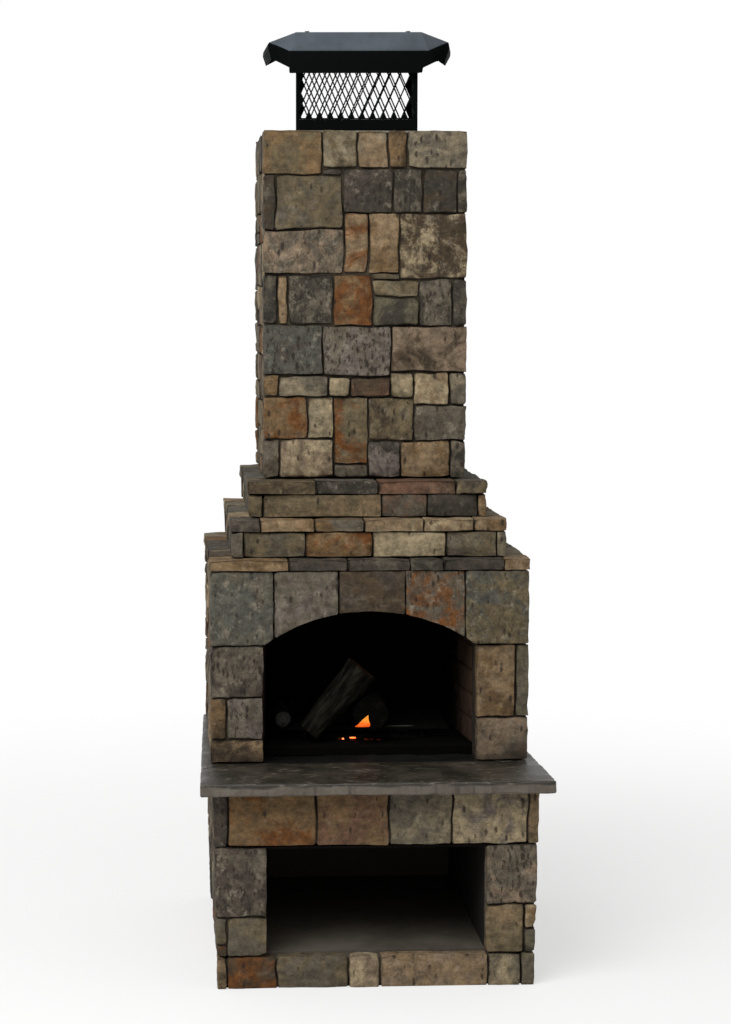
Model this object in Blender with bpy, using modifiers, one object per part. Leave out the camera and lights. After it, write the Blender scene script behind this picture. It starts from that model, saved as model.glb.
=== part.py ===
"""Outdoor stone fireplace: wood box base, hearth slab, arched firebox, stepped tiers, chimney and spark-arrestor cap.

Metres, +Z up. The front faces -Y. The origin is at the middle of the footprint, on the ground.
"""

import math
import random

import bmesh
import bpy
from mathutils import Matrix, Vector

# Clearances
GAP = 0.0003
OVERRUN = 0.02

# Stonework
VENEER = 0.055
FRONT_DEPTH = 0.10
JOINT = 0.005
JOINT_DEPTH = 0.010
RELIEF = 0.004
BED_INSET = 0.003
COURSE = 0.105
STONE_LENGTH = 0.17

# Hearth slab, the widest and deepest piece
SLAB_WIDTH = 0.876
SLAB_BACK_WIDTH = 0.826
SLAB_DEPTH = 1.014
SLAB_THICKNESS = 0.0325

# Base with the wood box
BODY_WIDTH = 0.816
BASE_DEPTH = 0.961
SILL_HEIGHT = 0.081
WOODBOX_HEIGHT = 0.275
WOODBOX_WIDTH = 0.542
WOODBOX_DEPTH = 0.78
LINTEL_HEIGHT = 0.137
LEAN_LEFT = 0.011
LEAN_RIGHT = 0.012
LINTEL_BAR_THICKNESS = 0.006
LINTEL_BAR_SETBACK = 0.012
LINTEL_BAR_BEARING = 0.06
SUPPORT_SLAB_THICKNESS = 0.085
CORE_REBATE = 0.004

# Firebox
FIREBOX_DEPTH = 0.746
OPENING_WIDTH = 0.539
SPRING_HEIGHT = 0.2985
ARCH_RISE = 0.087
KEYSTONE_HEIGHT = 0.1035
FIREBOX_HEIGHT = SPRING_HEIGHT + ARCH_RISE + KEYSTONE_HEIGHT
ARCH_SEGMENTS = 128
FIREBRICK = 0.032
SPLAY = 0.035
BURNING_DEPTH = 0.39
BRICK_FLOOR = 0.025
DOME_HEIGHT = 0.075
DOME_HOLE_WIDTH = 0.42
DOME_HOLE_DEPTH = 0.30
DOME_HOLE_SETBACK = 0.06
THROAT_WIDTH = 0.30
THROAT_DEPTH = 0.27
THROAT_SHIFT = 0.03

# Stepped tiers, each a low wall and its cap slabs
LEDGE_OVERHANG = 0.003
CAP_SLAB_DEPTH = 0.115
SHOULDER_THICKNESS = 0.0315
MIDDLE_WIDTH = 0.706
MIDDLE_DEPTH = 0.711
MIDDLE_WALL = 0.064
MIDDLE_CAP = 0.0335
UPPER_WIDTH = 0.614
UPPER_DEPTH = 0.660
UPPER_WALL = 0.058
UPPER_CAP = 0.0355
SMOKE_WIDTH = 0.41
SMOKE_DEPTH = 0.41

# Chimney
CHIMNEY_WIDTH = 0.531
CHIMNEY_DEPTH = 0.5705
CHIMNEY_HEIGHT = 0.8965
CROWN_THICKNESS = 0.03
FLUE_SHIFT = -0.004
FLUE_INSIDE = 0.248
FLUE_WALL = 0.022
FLUE_ABOVE_CROWN = 0.018
FLUE_TILE_SHARE = 0.66

# Chimney cap
CAP_WIDTH = 0.318
CAP_TURN = 0.062
BAND_HEIGHT = 0.033
BAND_SHEET = 0.0025
BAND_FLANGE = 0.0035
MESH_HEIGHT = 0.165
MESH_SHEET = 0.0016
MESH_BORDER = 0.004
DIAMOND_WIDTH = 0.028
DIAMOND_HEIGHT = 0.063
STRAND = 0.0042
POST_LEG = 0.006
POST_SHEET = 0.002
LID_HEIGHT = 0.060
LID_SHIFT = 0.002
LID_SHEET = 0.002
LID_TOP_WIDTH = 0.326
LID_FRONT_WIDTH = 0.362
LID_FRONT_OUT = 0.027
LID_FRONT_DROP = 0.052
LID_SIDE_OUT = 0.073
LID_BACK_OUT = 0.092
LID_SIDE_DROP = 0.0235
LID_SIDE_LENGTH = 0.40
LID_FRONT_SKIRT = 0.056
LID_EAR_SKIRT = 0.043
LID_BACK_SKIRT = 0.022
LID_EAR_TUCK = 0.007
BOLT_INSET = 0.031
BOLT_RADIUS = 0.003
BOLT_HOLE_RADIUS = 0.0036
BOLT_HEAD_RADIUS = 0.007
BOLT_HEAD = 0.005
BOLT_TIP = 0.005
BOLT_SIDES = 12
GUSSET = 0.045
GUSSET_SHEET = 0.003

# Fire
GRATE_SIDE_ROOM = 0.0095
GRATE_WIDTH = OPENING_WIDTH - 2 * (SPLAY + GRATE_SIDE_ROOM)
GRATE_DEPTH = 0.25
GRATE_SETBACK = 0.10
GRATE_CLEARANCE = 0.02
GRATE_BAR = 0.012
GRATE_BARS = 6
GRATE_RAIL_INSET = 0.07
LEANING_LOG_RADIUS = 0.040
LEANING_LOG_LENGTH = 0.22
LEANING_LOG_ANGLE = math.radians(50)
LEANING_LOG_SETBACK = 0.05
LOG_RADIUS = 0.048
LOG_LENGTH = 0.25
LOG_X = 0.013
LOG_FORWARD = 0.09
ASHY_LOG_RADIUS = 0.022
ASHY_LOG_LENGTH = 0.15
ASHY_LOG_INSET = 0.012
LOG_SIDES = 24
ASH_HEIGHT = 0.016
ASH_DEPTH = 0.25
ASH_SLOPE = 0.03
ASH_CLEARANCE = 0.010

# Front stones of the chimney as (left, right, bottom, top), shares of its width and height
CHIMNEY_STONE_SHARES = (
    (0.000, 0.289, 0.869, 1.000), (0.289, 0.461, 0.888, 1.000), (0.461, 0.610, 0.888, 1.000),
    (0.610, 0.705, 0.888, 1.000), (0.705, 1.000, 0.888, 1.000), (0.289, 0.391, 0.869, 0.888),
    (0.000, 0.060, 0.714, 0.869), (0.060, 0.391, 0.714, 0.869), (0.391, 0.634, 0.762, 0.888),
    (0.634, 0.779, 0.762, 0.888), (0.779, 0.944, 0.762, 0.888), (0.944, 1.000, 0.762, 0.888),
    (0.000, 0.392, 0.589, 0.714), (0.392, 0.517, 0.592, 0.762), (0.517, 0.671, 0.592, 0.762),
    (0.671, 1.000, 0.574, 0.762), (0.000, 0.071, 0.445, 0.586), (0.071, 0.119, 0.445, 0.586),
    (0.119, 0.346, 0.445, 0.586), (0.346, 0.537, 0.440, 0.589), (0.537, 0.671, 0.571, 0.592),
    (0.537, 0.763, 0.521, 0.571), (0.537, 0.763, 0.440, 0.521), (0.763, 0.926, 0.440, 0.574),
    (0.926, 1.000, 0.440, 0.574), (0.000, 0.294, 0.298, 0.445), (0.294, 0.628, 0.294, 0.440),
    (0.628, 1.000, 0.304, 0.440), (0.000, 0.076, 0.236, 0.298), (0.076, 0.319, 0.236, 0.294),
    (0.319, 0.426, 0.236, 0.291), (0.426, 0.628, 0.234, 0.291), (0.628, 0.735, 0.233, 0.304),
    (0.735, 0.910, 0.210, 0.304), (0.910, 1.000, 0.210, 0.304), (0.000, 0.221, 0.111, 0.236),
    (0.221, 0.346, 0.111, 0.236), (0.346, 0.515, 0.041, 0.234), (0.515, 0.742, 0.105, 0.233),
    (0.742, 1.000, 0.105, 0.210), (0.000, 0.079, 0.000, 0.111), (0.079, 0.346, 0.000, 0.111),
    (0.346, 0.515, 0.000, 0.041), (0.515, 0.674, 0.000, 0.105), (0.674, 0.918, 0.000, 0.105),
    (0.918, 1.000, 0.000, 0.105),
)

# Jamb stones in the same way, from the left of each panel
LEFT_JAMB_SHARES = (
    (0.00, 1.00, 0.00, 0.20), (0.00, 0.30, 0.20, 0.555), (0.30, 1.00, 0.20, 0.555), (0.00, 1.00, 0.555, 1.00),
)
RIGHT_JAMB_SHARES = ((0.00, 1.00, 0.00, 0.375), (0.00, 0.74, 0.375, 1.00), (0.74, 1.00, 0.375, 1.00))
BASE_LEFT_JAMB_SHARES = (
    (0.00, 1.00, 0.365, 1.00), (0.00, 0.226, 0.11, 0.365), (0.226, 1.00, 0.00, 0.365), (0.00, 0.226, 0.00, 0.11),
)
BASE_RIGHT_JAMB_SHARES = (
    (0.00, 1.00, 0.455, 1.00), (0.00, 0.76, 0.00, 0.455), (0.76, 1.00, 0.23, 0.455), (0.76, 1.00, 0.00, 0.23),
)

# Upright joints of the single front courses, shares of the course's width
ARCH_JOINT_SHARES = (0.200, 0.402, 0.610, 0.797)
BASE_SILL_SHARES = (0.034, 0.167, 0.392, 0.494, 0.841)
BASE_LINTEL_SHARES = (0.047, 0.315, 0.538, 0.729, 0.962)
SHOULDER_SHARES = (0.248, 0.431, 0.624, 0.727, 0.916)
MIDDLE_WALL_SHARES = (0.045, 0.270, 0.512, 0.780, 0.962)
MIDDLE_CAP_SHARES = (0.110, 0.304, 0.482, 0.695, 0.877)
UPPER_WALL_SHARES = (0.062, 0.558, 0.750, 0.961)
UPPER_CAP_SHARES = (0.285, 0.543, 0.867)

# How far a seeded course may differ from an even one
COURSE_JITTER_SHARE = 0.16
LENGTH_JITTER_SHARE = 0.28
SPLIT_CHANCE_SHARE = 0.30
SPLIT_HEIGHT_SHARE = 0.38

# Heights, from the ground up
BACK = SLAB_DEPTH / 2
WOODBOX_TOP = SILL_HEIGHT + WOODBOX_HEIGHT
BASE_TOP = WOODBOX_TOP + LINTEL_HEIGHT
SLAB_BOTTOM = BASE_TOP + GAP
HEARTH_TOP = SLAB_BOTTOM + SLAB_THICKNESS
FIREBOX_BOTTOM = HEARTH_TOP + GAP
SPRING = FIREBOX_BOTTOM + SPRING_HEIGHT
ARCH_TOP = FIREBOX_BOTTOM + FIREBOX_HEIGHT
DOME_BOTTOM = ARCH_TOP - DOME_HEIGHT
BRICK_TOP = FIREBOX_BOTTOM + BRICK_FLOOR
SHOULDER_BOTTOM = ARCH_TOP + GAP
SHOULDER_TOP = SHOULDER_BOTTOM + SHOULDER_THICKNESS
MIDDLE_WALL_TOP = SHOULDER_TOP + GAP + MIDDLE_WALL
MIDDLE_TOP = MIDDLE_WALL_TOP + GAP + MIDDLE_CAP
UPPER_WALL_TOP = MIDDLE_TOP + GAP + UPPER_WALL
UPPER_TOP = UPPER_WALL_TOP + GAP + UPPER_CAP
CHIMNEY_BOTTOM = UPPER_TOP + GAP
CHIMNEY_TOP = CHIMNEY_BOTTOM + CHIMNEY_HEIGHT
FLUE_TOP = CHIMNEY_TOP + FLUE_ABOVE_CROWN
BAND_BOTTOM = CHIMNEY_TOP + GAP
BAND_TOP = BAND_BOTTOM + BAND_HEIGHT
MESH_BOTTOM = BAND_TOP + GAP
MESH_TOP = MESH_BOTTOM + MESH_HEIGHT
LID_SEAT = MESH_TOP + LID_HEIGHT - LID_SHEET

# Front faces
BASE_FRONT = BACK - BASE_DEPTH
FIREBOX_FRONT = BACK - FIREBOX_DEPTH
MIDDLE_FRONT = BACK - MIDDLE_DEPTH
UPPER_FRONT = BACK - UPPER_DEPTH
CHIMNEY_FRONT = BACK - CHIMNEY_DEPTH

# Middle of the flue, of the smoke chamber and of the cap, and that of its lid
FLUE_Y = BACK - CHIMNEY_DEPTH / 2
FLUE_CENTRE = (FLUE_SHIFT, FLUE_Y)
LID_CENTRE = (FLUE_SHIFT + LID_SHIFT, FLUE_Y)
FLUE_OUTSIDE = FLUE_INSIDE + 2 * FLUE_WALL

PARTS = "outdoor_fireplace"
CUTTERS = "cutters"


def clear_scene():
    for obj in list(bpy.data.objects):
        bpy.data.objects.remove(obj, do_unlink=True)
    for name in (PARTS, CUTTERS):
        bpy.context.scene.collection.children.link(bpy.data.collections.new(name))
    bpy.data.collections[CUTTERS].hide_render = True


def material(name, colour, roughness, metallic=0.0):
    made = bpy.data.materials.new(name)
    made.use_nodes = True
    shader = made.node_tree.nodes["Principled BSDF"]
    shader.inputs["Base Color"].default_value = (*colour, 1.0)
    shader.inputs["Roughness"].default_value = roughness
    shader.inputs["Metallic"].default_value = metallic
    made.diffuse_color = (*colour, 1.0)
    return made


def add_object(name, bm, finish):
    """A part with the mesh of bm, or a cutter where there is no finish."""
    mesh = bpy.data.meshes.new(name)
    bm.to_mesh(mesh)
    bm.free()
    obj = bpy.data.objects.new(name, mesh)
    if finish is None:
        bpy.data.collections[CUTTERS].objects.link(obj)
        obj.hide_render = True
        obj.display_type = "WIRE"
    else:
        bpy.data.collections[PARTS].objects.link(obj)
        made = material(name, *finish)
        mesh.materials.append(made)
    return obj


def add_box(bm, low, high):
    """A box between two corners, added to bm."""
    low, high = Vector(low), Vector(high)
    size = high - low
    place = Matrix.Translation((low + high) / 2) @ Matrix.Diagonal((*size, 1.0))
    return bmesh.ops.create_cube(bm, size=1.0, matrix=place)["verts"]


def block(name, low, high, finish):
    """A box whose object stands at the middle of its underside."""
    low, high = Vector(low), Vector(high)
    foot = Vector(((low.x + high.x) / 2, (low.y + high.y) / 2, low.z))
    bm = bmesh.new()
    add_box(bm, low - foot, high - foot)
    obj = add_object(name, bm, finish)
    obj.location = foot
    return obj


def boolean(obj, tool, operation="DIFFERENCE"):
    modifier = obj.modifiers.new(f"{operation.lower()} {tool.name}", "BOOLEAN")
    modifier.operation = operation
    modifier.solver = "EXACT"
    modifier.object = tool


def box_cutter(name, low, high):
    return block(name, low, high, None)


def tapered_cutter(name, bottom, top, bottom_size, top_size, bottom_centre, top_centre):
    """A four-sided passage between two level rectangles, with an overrun at both ends."""
    bm = bmesh.new()
    slope = Vector((*top_centre, top)) - Vector((*bottom_centre, bottom))
    for vert in add_box(bm, (-0.5, -0.5, 0.0), (0.5, 0.5, 1.0)):
        share = (top - bottom + OVERRUN) / (top - bottom) if vert.co.z > 0 else -OVERRUN / (top - bottom)
        width = bottom_size[0] + (top_size[0] - bottom_size[0]) * share
        depth = bottom_size[1] + (top_size[1] - bottom_size[1]) * share
        centre = Vector((*bottom_centre, bottom)) + slope * share
        vert.co = centre + Vector((vert.co.x * width, vert.co.y * depth, 0.0))
    return add_object(name, bm, None)


# Stone panels


def even_cuts(length, piece, rng, jitter_share):
    """The places, from 0 to length, where a run is cut into pieces of about one length."""
    count = max(1, round(length / piece))
    step = length / count
    inner = [step * (i + rng.uniform(-jitter_share, jitter_share)) for i in range(1, count)]
    return [0.0, *inner, length]


def seeded_cells(width, height, seed):
    """Squared rubble in courses, as (left, right, bottom, top): some stones are split into a thick and a thin one."""
    rng = random.Random(seed)
    cells = []
    rows = even_cuts(height, COURSE, rng, COURSE_JITTER_SHARE)
    for bottom, top in zip(rows, rows[1:]):
        cuts = even_cuts(width, STONE_LENGTH, rng, LENGTH_JITTER_SHARE)
        for left, right in zip(cuts, cuts[1:]):
            if rng.random() < SPLIT_CHANCE_SHARE and top - bottom > COURSE / 2:
                middle = bottom + (top - bottom) * SPLIT_HEIGHT_SHARE
                cells += [(left, right, bottom, middle), (left, right, middle, top)]
            else:
                cells.append((left, right, bottom, top))
    return cells


def shared_cells(width, height, shares):
    return [(a * width, b * width, c * height, d * height) for a, b, c, d in shares]


def course_cells(width, height, joint_shares):
    cuts = [0.0, *(share * width for share in joint_shares), width]
    return [(left, right, 0.0, height) for left, right in zip(cuts, cuts[1:])]


def veneer(name, width, height, cells, seed, finish, free=(True, True), depth=VENEER):
    """Stones standing proud of one mortar bed. The back lies in the local XZ plane and the face looks along -Y.

    The cells start at the lower left. On a free side the stones reach the panel's edge and cover the bed.
    """
    rng = random.Random(seed)
    bm = bmesh.new()
    bed_low = (BED_INSET if free[0] else 0.0) - width / 2
    bed_high = width / 2 - (BED_INSET if free[1] else 0.0)
    add_box(bm, (bed_low, JOINT_DEPTH - depth, BED_INSET), (bed_high, 0.0, height - BED_INSET))
    panel = add_object(name, bm, finish)
    bm = bmesh.new()
    for left, right, bottom, top in cells:
        left += 0.0 if left <= 0.0 and free[0] else JOINT / 2
        right -= 0.0 if right >= width and free[1] else JOINT / 2
        bottom += 0.0 if bottom <= 0.0 else JOINT / 2
        top -= 0.0 if top >= height else JOINT / 2
        face = rng.uniform(0.0, RELIEF) - depth
        add_box(bm, (left - width / 2, face, bottom), (right - width / 2, -BED_INSET, top))
    stones = add_object(name + "_stones", bm, None)
    boolean(panel, stones, "UNION")
    return panel, stones


def place(objects, location, turn=0.0):
    for obj in objects:
        obj.location = location
        obj.rotation_euler.z = turn


def face_panels(prefix, width, front, bottom, height, names, seed, finish, inner=VENEER):
    """The facing of the left, right and back of a square body. The front piece is inner deep."""
    made = []
    side_length = BACK - VENEER - GAP - (front + inner + GAP)
    side_middle = front + inner + GAP + side_length / 2
    for name in names:
        if name == "back":
            cells = seeded_cells(width, height, seed)
            pair = veneer(f"{prefix}_back_veneer", width, height, cells, seed, finish)
            place(pair, (0.0, BACK - VENEER, bottom), math.pi)
        else:
            side = -1 if name == "left" else 1
            cells = seeded_cells(side_length, height, seed + side)
            pair = veneer(
                f"{prefix}_{name}_veneer", side_length, height, cells, seed + side, finish, free=(False, False)
            )
            place(pair, (side * (width / 2 - VENEER), side_middle, bottom), side * math.pi / 2)
        made += pair
    return made


def ring_course(name, width, front, bottom, height, joint_shares, seed, finish, stone_depth):
    """A course of stones round all four sides of a solid bed, with a hole for the smoke chamber."""
    rng = random.Random(seed)
    half, middle = width / 2, (front + BACK) / 2
    bm = bmesh.new()
    add_box(
        bm,
        (-half + JOINT_DEPTH, front + JOINT_DEPTH, bottom + BED_INSET),
        (half - JOINT_DEPTH, BACK - JOINT_DEPTH, bottom + height - BED_INSET),
    )
    course = add_object(name, bm, finish)
    bm = bmesh.new()
    top = bottom + height
    front_cuts = [0.0, *(share * width for share in joint_shares), width]
    back_cuts = even_cuts(width, STONE_LENGTH, rng, LENGTH_JITTER_SHARE)
    for cuts, face, inward in ((front_cuts, front, 1), (back_cuts, BACK, -1)):
        for left, right in zip(cuts, cuts[1:]):
            left += 0.0 if left <= 0.0 else JOINT / 2
            right -= 0.0 if right >= width else JOINT / 2
            outer = face + inward * rng.uniform(0.0, RELIEF)
            ends = sorted((outer, face + inward * stone_depth))
            add_box(bm, (left - half, ends[0], bottom), (right - half, ends[1], top))
    side_low, side_high = front + stone_depth + JOINT, BACK - stone_depth - JOINT
    for side in (-1, 1):
        cuts = even_cuts(side_high - side_low, STONE_LENGTH, rng, LENGTH_JITTER_SHARE)
        for low, high in zip(cuts, cuts[1:]):
            low += side_low + (0.0 if low <= 0.0 else JOINT / 2)
            high += side_low - (0.0 if high >= side_high - side_low else JOINT / 2)
            ends = sorted((side * (half - rng.uniform(0.0, RELIEF)), side * (half - stone_depth)))
            add_box(bm, (ends[0], low, bottom), (ends[1], high, top))
    boolean(course, add_object(name + "_stones", bm, None), "UNION")
    hole = box_cutter(
        name + "_hole",
        (-SMOKE_WIDTH / 2 - GAP, FLUE_Y - SMOKE_DEPTH / 2 - GAP, bottom - OVERRUN),
        (SMOKE_WIDTH / 2 + GAP, FLUE_Y + SMOKE_DEPTH / 2 + GAP, top + OVERRUN),
    )
    boolean(course, hole)
    course.location = (0.0, middle, 0.0)
    course.data.transform(Matrix.Translation((0.0, -middle, 0.0)))
    return course


# Base


def lean(objects):
    """Draws the outer faces of the base in towards the ground, from the jamb's edge outwards."""
    inner = WOODBOX_WIDTH / 2
    reach = BODY_WIDTH / 2 - inner
    for obj in objects:
        matrix = obj.matrix_basis.copy()
        back = matrix.inverted()
        for vert in obj.data.vertices:
            point = matrix @ vert.co
            if abs(point.x) > inner:
                side = 1 if point.x > 0 else -1
                drawn = (LEAN_RIGHT if side > 0 else LEAN_LEFT) * (1 - point.z / BASE_TOP)
                point.x = side * (inner + (abs(point.x) - inner) * (reach - drawn) / reach)
                vert.co = back @ point


CONCRETE = ((0.42, 0.41, 0.39), 0.9)
FIELDSTONE = ((0.36, 0.32, 0.28), 0.85)
TAN_STONE = ((0.46, 0.36, 0.25), 0.85)
GREY_STONE = ((0.28, 0.27, 0.27), 0.85)
STEEL = ((0.10, 0.09, 0.085), 0.55, 0.9)
BLACK_METAL = ((0.02, 0.02, 0.022), 0.4, 0.6)


def make_base():
    half = BODY_WIDTH / 2
    inside = half - VENEER - GAP
    behind_front = BASE_FRONT + VENEER + GAP
    before_back = BACK - VENEER - GAP
    core_inner = WOODBOX_WIDTH / 2 + CORE_REBATE
    support_bottom = BASE_TOP - SUPPORT_SLAB_THICKNESS
    leaning = []

    footing = block("footing_slab", (-inside, behind_front, 0.0), (inside, before_back, SILL_HEIGHT), CONCRETE)
    core = block(
        "base_core", (-inside, behind_front, SILL_HEIGHT + GAP), (inside, before_back, support_bottom - GAP), CONCRETE
    )
    cavity_back = behind_front + WOODBOX_DEPTH
    cavity = box_cutter(
        "woodbox_cavity",
        (-core_inner, behind_front - OVERRUN, SILL_HEIGHT - OVERRUN),
        (core_inner, cavity_back, support_bottom + OVERRUN),
    )
    boolean(core, cavity)
    leaning += [footing, core]

    sill = veneer(
        "base_bottom_course", BODY_WIDTH, SILL_HEIGHT, course_cells(BODY_WIDTH, SILL_HEIGHT, BASE_SILL_SHARES), 11,
        TAN_STONE,
    )
    place(sill, (0.0, BASE_FRONT + VENEER, 0.0))
    leaning += sill

    bar_top = WOODBOX_TOP - GAP
    jamb_height = WOODBOX_HEIGHT - LINTEL_BAR_THICKNESS - 3 * GAP
    jamb_width = half - WOODBOX_WIDTH / 2
    jamb_middle = WOODBOX_WIDTH / 2 + jamb_width / 2
    for name, shares, side in (
        ("base_left_jamb", BASE_LEFT_JAMB_SHARES, -1),
        ("base_right_jamb", BASE_RIGHT_JAMB_SHARES, 1),
    ):
        cells = shared_cells(jamb_width, jamb_height, shares)
        pair = veneer(name, jamb_width, jamb_height, cells, 13 + side, GREY_STONE)
        place(pair, (side * jamb_middle, BASE_FRONT + VENEER, SILL_HEIGHT + GAP))
        leaning += pair

    bar_half = WOODBOX_WIDTH / 2 + LINTEL_BAR_BEARING
    block(
        "woodbox_lintel_bar",
        (-bar_half, BASE_FRONT + LINTEL_BAR_SETBACK, bar_top - LINTEL_BAR_THICKNESS),
        (bar_half, BASE_FRONT + VENEER, bar_top),
        STEEL,
    )
    lintel_cells = course_cells(BODY_WIDTH, LINTEL_HEIGHT, BASE_LINTEL_SHARES)
    lintel = veneer("base_lintel_course", BODY_WIDTH, LINTEL_HEIGHT, lintel_cells, 17, FIELDSTONE)
    place(lintel, (0.0, BASE_FRONT + VENEER, WOODBOX_TOP))
    leaning += lintel
    leaning += face_panels("base", BODY_WIDTH, BASE_FRONT, 0.0, BASE_TOP, ("left", "right", "back"), 21, FIELDSTONE)
    lean(leaning)

    support = block(
        "support_slab", (-inside, behind_front, support_bottom), (inside, before_back, BASE_TOP), CONCRETE
    )
    lean([support])
    slab = block(
        "hearth_slab",
        (-SLAB_WIDTH / 2, -SLAB_DEPTH / 2, SLAB_BOTTOM),
        (SLAB_WIDTH / 2, SLAB_DEPTH / 2, HEARTH_TOP),
        ((0.40, 0.36, 0.34), 0.7),
    )
    for vert in slab.data.vertices:
        if vert.co.y > 0:
            vert.co.x *= SLAB_BACK_WIDTH / SLAB_WIDTH


# Firebox


def arch_radius():
    half = OPENING_WIDTH / 2
    return (half * half + ARCH_RISE * ARCH_RISE) / (2 * ARCH_RISE)


def arch_cutter():
    """A long round bar whose upper side is the underside of the arch."""
    radius = arch_radius()
    bm = bmesh.new()
    bmesh.ops.create_cone(
        bm, cap_ends=True, segments=ARCH_SEGMENTS, radius1=radius, radius2=radius, depth=FRONT_DEPTH + 2 * OVERRUN
    )
    cutter = add_object("arch_bar", bm, None)
    cutter.rotation_euler.x = math.pi / 2
    cutter.location = (0.0, FIREBOX_FRONT + FRONT_DEPTH / 2, SPRING + ARCH_RISE - radius)
    return cutter


def make_arch():
    cutter = arch_cutter()
    rng = random.Random(31)
    cuts = [0.0, *ARCH_JOINT_SHARES, 1.0]
    names = ("arch_left_end", "arch_left_stone", "arch_keystone", "arch_right_stone", "arch_right_end")
    for name, left, right in zip(names, cuts, cuts[1:]):
        low = left * BODY_WIDTH - BODY_WIDTH / 2 + GAP / 2
        high = right * BODY_WIDTH - BODY_WIDTH / 2 - GAP / 2
        front = FIREBOX_FRONT + rng.uniform(0.0, RELIEF)
        foot = Vector(((low + high) / 2, front, SPRING + GAP))
        bm = bmesh.new()
        add_box(
            bm,
            Vector((low, front, SPRING + GAP)) - foot,
            Vector((high, FIREBOX_FRONT + FRONT_DEPTH, ARCH_TOP)) - foot,
        )
        front_edges = [edge for edge in bm.edges if all(vert.co.y < GAP for vert in edge.verts)]
        bmesh.ops.bevel(bm, geom=front_edges, offset=JOINT / 2, segments=1, affect="EDGES")
        stone = add_object(name, bm, FIELDSTONE)
        stone.location = foot
        boolean(stone, cutter)


def splayed_wall(name, side, y_front, y_back, bottom, top, finish):
    """A firebrick side wall, thicker towards the back of the fire."""
    outer = OPENING_WIDTH / 2 + FIREBRICK
    bm = bmesh.new()
    for vert in add_box(bm, (outer - FIREBRICK, y_front, bottom), (outer, y_back, top)):
        if vert.co.x < outer - FIREBRICK / 2 and vert.co.y > (y_front + y_back) / 2:
            vert.co.x -= SPLAY
    if side < 0:
        for vert in bm.verts:
            vert.co.x = -vert.co.x
        bmesh.ops.reverse_faces(bm, faces=bm.faces)
    return add_object(name, bm, finish)


def make_firebox():
    half = BODY_WIDTH / 2
    inside = half - VENEER - GAP
    behind_front = FIREBOX_FRONT + FRONT_DEPTH + GAP
    before_back = BACK - VENEER - GAP
    fire_back = behind_front + BURNING_DEPTH
    brick_outer = OPENING_WIDTH / 2 + FIREBRICK
    brick = ((0.24, 0.19, 0.15), 0.95)

    jamb_width = half - OPENING_WIDTH / 2
    for name, shares, side in (
        ("left_jamb_stones", LEFT_JAMB_SHARES, -1),
        ("right_jamb_stones", RIGHT_JAMB_SHARES, 1),
    ):
        cells = shared_cells(jamb_width, SPRING_HEIGHT, shares)
        pair = veneer(name, jamb_width, SPRING_HEIGHT, cells, 33 + side, GREY_STONE, depth=FRONT_DEPTH)
        place(pair, (side * (half - jamb_width / 2), FIREBOX_FRONT + FRONT_DEPTH, FIREBOX_BOTTOM))
    make_arch()

    block("firebrick_floor", (-brick_outer, behind_front, FIREBOX_BOTTOM), (brick_outer, fire_back, BRICK_TOP), brick)
    wall_bottom, wall_top = BRICK_TOP + GAP, DOME_BOTTOM - GAP
    splayed_wall("firebrick_left", -1, behind_front, fire_back - GAP, wall_bottom, wall_top, brick)
    splayed_wall("firebrick_right", 1, behind_front, fire_back - GAP, wall_bottom, wall_top, brick)
    block(
        "firebrick_back",
        (-brick_outer, fire_back, BRICK_TOP + GAP - BRICK_FLOOR),
        (brick_outer, fire_back + FIREBRICK, wall_top),
        brick,
    )
    core = block(
        "firebox_core", (-inside, behind_front, FIREBOX_BOTTOM), (inside, before_back, DOME_BOTTOM - GAP), CONCRETE
    )
    recess = box_cutter(
        "firebox_recess",
        (-brick_outer - GAP, behind_front - OVERRUN, FIREBOX_BOTTOM - OVERRUN),
        (brick_outer + GAP, fire_back + FIREBRICK + GAP, DOME_BOTTOM + OVERRUN),
    )
    boolean(core, recess)

    dome = block("smoke_dome", (-inside, behind_front, DOME_BOTTOM), (inside, before_back, ARCH_TOP), CONCRETE)
    hole_middle = behind_front + DOME_HOLE_SETBACK + DOME_HOLE_DEPTH / 2
    passage = tapered_cutter(
        "dome_passage", DOME_BOTTOM, ARCH_TOP, (DOME_HOLE_WIDTH, DOME_HOLE_DEPTH), (THROAT_WIDTH, THROAT_DEPTH),
        (FLUE_SHIFT, hole_middle), (FLUE_SHIFT, FLUE_Y - THROAT_SHIFT),
    )
    boolean(dome, passage)
    face_panels(
        "firebox", BODY_WIDTH, FIREBOX_FRONT, FIREBOX_BOTTOM, FIREBOX_HEIGHT, ("left", "right", "back"), 41,
        FIELDSTONE, inner=FRONT_DEPTH,
    )


# Tiers and smoke chamber


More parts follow.
